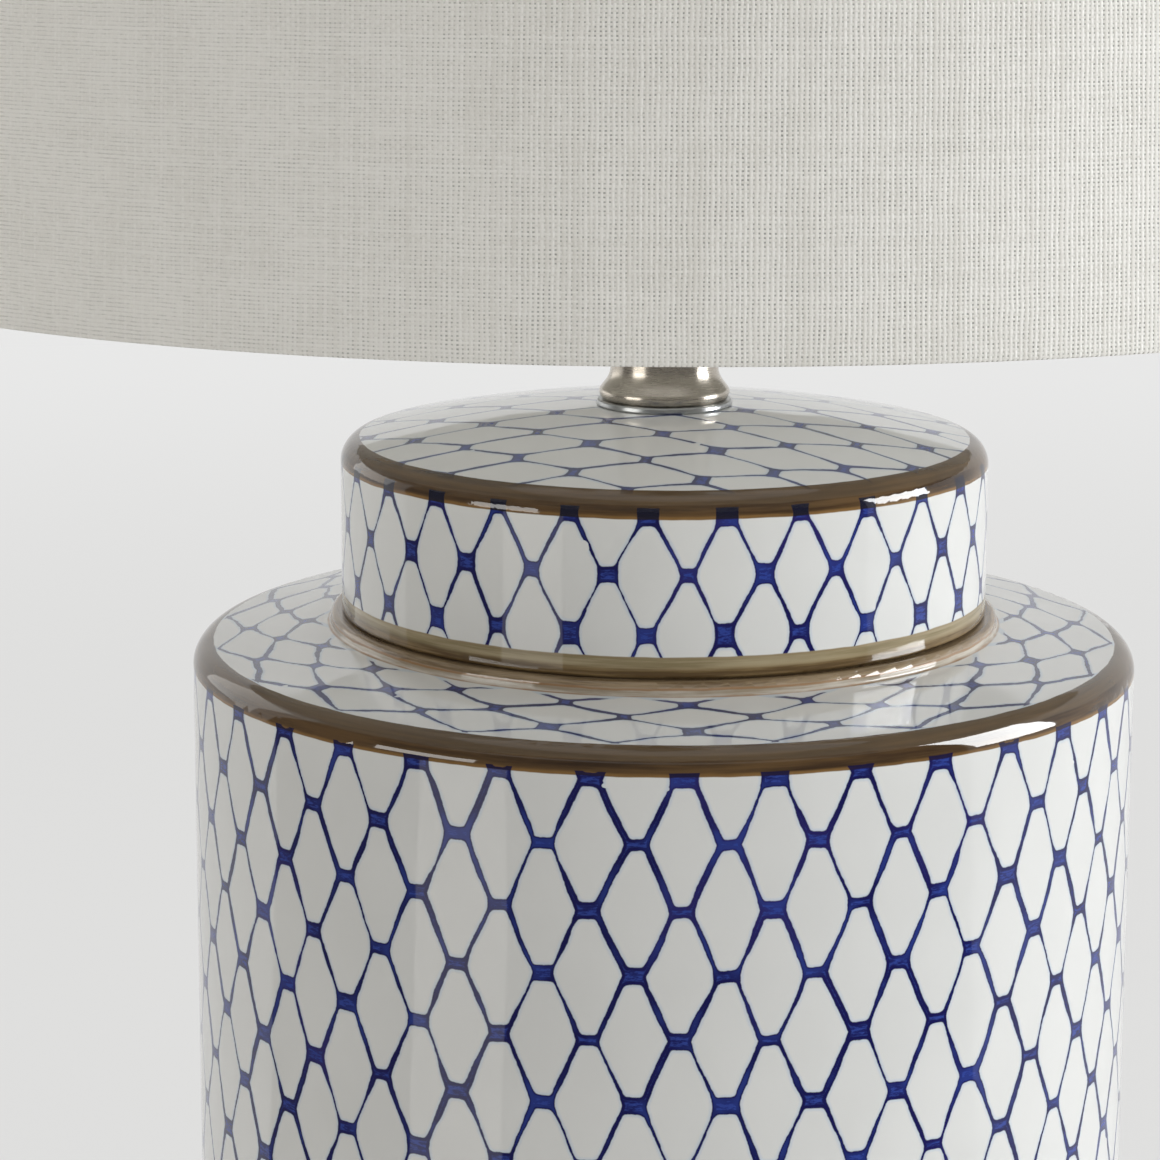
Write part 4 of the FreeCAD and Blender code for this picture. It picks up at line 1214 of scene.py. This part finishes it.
def soft_light(name, azimuth, distance, height, width, tall, radiance, colour, lit="both"):
    """Window-like lamp. Azimuth is in degrees from the front, to the right. lit is diffuse for a
    lamp that leaves no highlights and glossy for one that makes only highlights."""
    lamp = bpy.data.lights.new(name, "AREA")
    lamp.shape = "RECTANGLE"
    lamp.size = width
    lamp.size_y = tall
    lamp.energy = radiance * math.pi * width * tall
    lamp.color = colour
    light = linked(name, lamp)
    angle = math.radians(azimuth)
    light.location = (distance * math.sin(angle), -distance * math.cos(angle), height)
    middle_of_lamp = Vector((0, 0, 0.33))
    aim = middle_of_lamp - light.location
    light.rotation_mode = "QUATERNION"
    light.rotation_quaternion = aim.to_track_quat("-Z", "Y")
    light.visible_glossy = lit != "diffuse"
    light.visible_diffuse = lit != "glossy"


def seen_directly(w):
    """1 for rays from the camera, and for those that a mirror or glass passes on."""
    rays = w.add("ShaderNodeLightPath").outputs
    seen = w.largest(rays["Is Camera Ray"], rays["Is Glossy Ray"])
    return w.largest(seen, rays["Is Transmission Ray"])


class LAMP_OT_stage(LampPiece):
    """Set up the floor, the lights, the world and the camera"""

    bl_idname = "lamp.stage"
    bl_label = "Stage"

    def build(self, context):
        stage = context.scene.lamp_stage
        self.floor(stage)
        self.world(context, stage)
        cool, warm = (0.965, 0.985, 1.0), (1.0, 0.985, 0.95)
        soft_light("window_right", 84, 3.0, 0.58, 2.0, 0.62, stage.window_right, cool, "diffuse")
        soft_light("glint_right", 90, 3.0, 1.50, 1.62, 2.5, stage.glint_right, cool, "glossy")
        soft_light("window_left", -56, 3.0, 0.60, 1.46, 0.62, stage.window_left, warm)
        soft_light("rear_fill", -125, 3.2, 1.2, 1.8, 1.8, stage.rear_fill, warm)
        soft_light("side_fill", 57, 3.0, 0.7, 1.6, 1.6, stage.side_fill, cool, "diffuse")
        if stage.dark_screen:
            self.card("dark_screen", (-100, 74), (-62, 38), 0.2, 0.004)
            self.card("gleam_card", (-56, -34), (-62, -9), stage.gleam, 0.010)
        self.camera(context)
        context.scene.view_settings.view_transform = "Standard"

    def floor(self, stage):
        shape = bmesh.new()
        bmesh.ops.create_circle(shape, cap_ends=True, segments=96, radius=15)
        floor = linked("studio_floor", mesh_of("studio_floor", shape))
        material, w = new_material("Pale floor")
        diffuse = w.add("ShaderNodeBsdfDiffuse", (0.72, 0.72, 0.715, 1))
        glow = w.add("ShaderNodeEmission", (1.0, 1.0, 0.995, 1), stage.backdrop)
        share = seen_directly(w) * w.fade(RoundPlace(w).radius, 900, 2400, 0.75, 1.0)
        mixed = w.add("ShaderNodeMixShader", share, diffuse.outputs[0], glow.outputs[0])
        w.feed(w.add("ShaderNodeOutputMaterial").inputs["Surface"], mixed.outputs[0])
        floor.data.materials.append(material)

    def world(self, context, stage):
        world = bpy.data.worlds.new("Studio")
        world.use_nodes = True
        world.node_tree.nodes.clear()
        w = Wiring(world.node_tree)
        upward = w.split(w.add("ShaderNodeTexCoord").outputs["Generated"])[2]
        level = w.fade(upward, 0.7, 0.88, stage.sky, stage.ceiling)
        even = w.add("ShaderNodeBackground", (1.0, 0.985, 0.95, 1), level)
        pale = w.add("ShaderNodeBackground", (1.0, 1.0, 0.995, 1), stage.backdrop)
        mixed = w.add("ShaderNodeMixShader", seen_directly(w), even.outputs[0], pale.outputs[0])
        w.feed(w.add("ShaderNodeOutputWorld").inputs["Surface"], mixed.outputs[0])
        context.scene.world = world

    def card(self, name, azimuths, elevations, radiance, floor_gap):
        """Curved screen, laid over the floor where it is low, that only mirrors and glaze see."""
        shape = bmesh.new()
        columns, rows = 24, 12
        reach, centre_height = 3.4, 0.35
        left, right = (math.radians(azimuth) for azimuth in azimuths)
        low, high = (math.radians(elevation) for elevation in elevations)
        grid = []
        for row in range(rows + 1):
            up = low + (high - low) * row / rows
            line = []
            for column in range(columns + 1):
                angle = left + (right - left) * column / columns
                flat = reach * math.cos(up)
                height = max(floor_gap, centre_height + reach * math.sin(up))
                if height <= floor_gap:
                    flat = centre_height / math.tan(-up)
                x, y = flat * math.sin(angle), -flat * math.cos(angle)
                line.append(shape.verts.new((x, y, height)))
            grid.append(line)
        for lower, upper in zip(grid, grid[1:]):
            for column in range(columns):
                shape.faces.new((
                    lower[column], lower[column + 1], upper[column + 1], upper[column]))
        card = linked(name, mesh_of(name, shape))
        material, w = new_material(name)
        glow = w.add("ShaderNodeEmission", (1.0, 0.97, 0.93, 1), radiance)
        w.feed(w.add("ShaderNodeOutputMaterial").inputs["Surface"], glow.outputs[0])
        card.data.materials.append(material)
        card.visible_camera = False
        card.visible_diffuse = False
        card.visible_transmission = False
        card.visible_shadow = False

    def camera(self, context):
        right = Vector((0.99969, 0.02473, 0.00253))
        up = Vector((-0.00693, 0.17934, 0.98376))
        forward = Vector((-0.02387, 0.98348, -0.17945))
        data = bpy.data.cameras.new("photo_camera")
        data.sensor_width = 36
        data.lens = 108.9
        data.shift_y = -0.1
        camera = linked("photo_camera", data)
        turn = Matrix((right, up, -forward)).transposed().to_4x4()
        camera.matrix_world = Matrix.Translation((0, -0.80631, 0.46628)) @ turn
        context.scene.camera = camera


PIECES = (
    LAMP_OT_stage, LAMP_OT_jar, LAMP_OT_lid, LAMP_OT_felt, LAMP_OT_bush, LAMP_OT_hardware,
    LAMP_OT_neck, LAMP_OT_harp, LAMP_OT_holder, LAMP_OT_knob, LAMP_OT_bulb, LAMP_OT_shade,
    LAMP_OT_shade_frame, LAMP_OT_finial,
)
SETTINGS = {
    "lamp_trellis": TrellisPaint,
    "lamp_linen": LinenWeave,
    "lamp_metal": MetalFinish,
    "lamp_stage": StageLight,
}


class LAMP_PT_panel(bpy.types.Panel):
    """The lamp's pieces and settings"""

    bl_idname = "LAMP_PT_panel"
    bl_label = "Table lamp"
    bl_space_type = "VIEW_3D"
    bl_region_type = "UI"
    bl_category = "Lamp"

    def draw(self, context):
        layout = self.layout
        for name, group in SETTINGS.items():
            box = layout.box()
            box.label(text=group.__doc__.rstrip("."))
            for setting in group.__annotations__:
                box.prop(getattr(context.scene, name), setting)
        for piece in PIECES:
            layout.operator(piece.bl_idname)


def register():
    for group in SETTINGS.values():
        bpy.utils.register_class(group)
    for piece in PIECES:
        bpy.utils.register_class(piece)
    bpy.utils.register_class(LAMP_PT_panel)
    for name, group in SETTINGS.items():
        setattr(bpy.types.Scene, name, PointerProperty(type=group))


def unregister():
    for name in SETTINGS:
        delattr(bpy.types.Scene, name)
    bpy.utils.unregister_class(LAMP_PT_panel)
    for piece in reversed(PIECES):
        bpy.utils.unregister_class(piece)
    for group in reversed(list(SETTINGS.values())):
        bpy.utils.unregister_class(group)


def main():
    register()
    for piece in PIECES:
        group, name = piece.bl_idname.split(".")
        getattr(getattr(bpy.ops, group), name)()


if __name__ == "__main__":
    main()
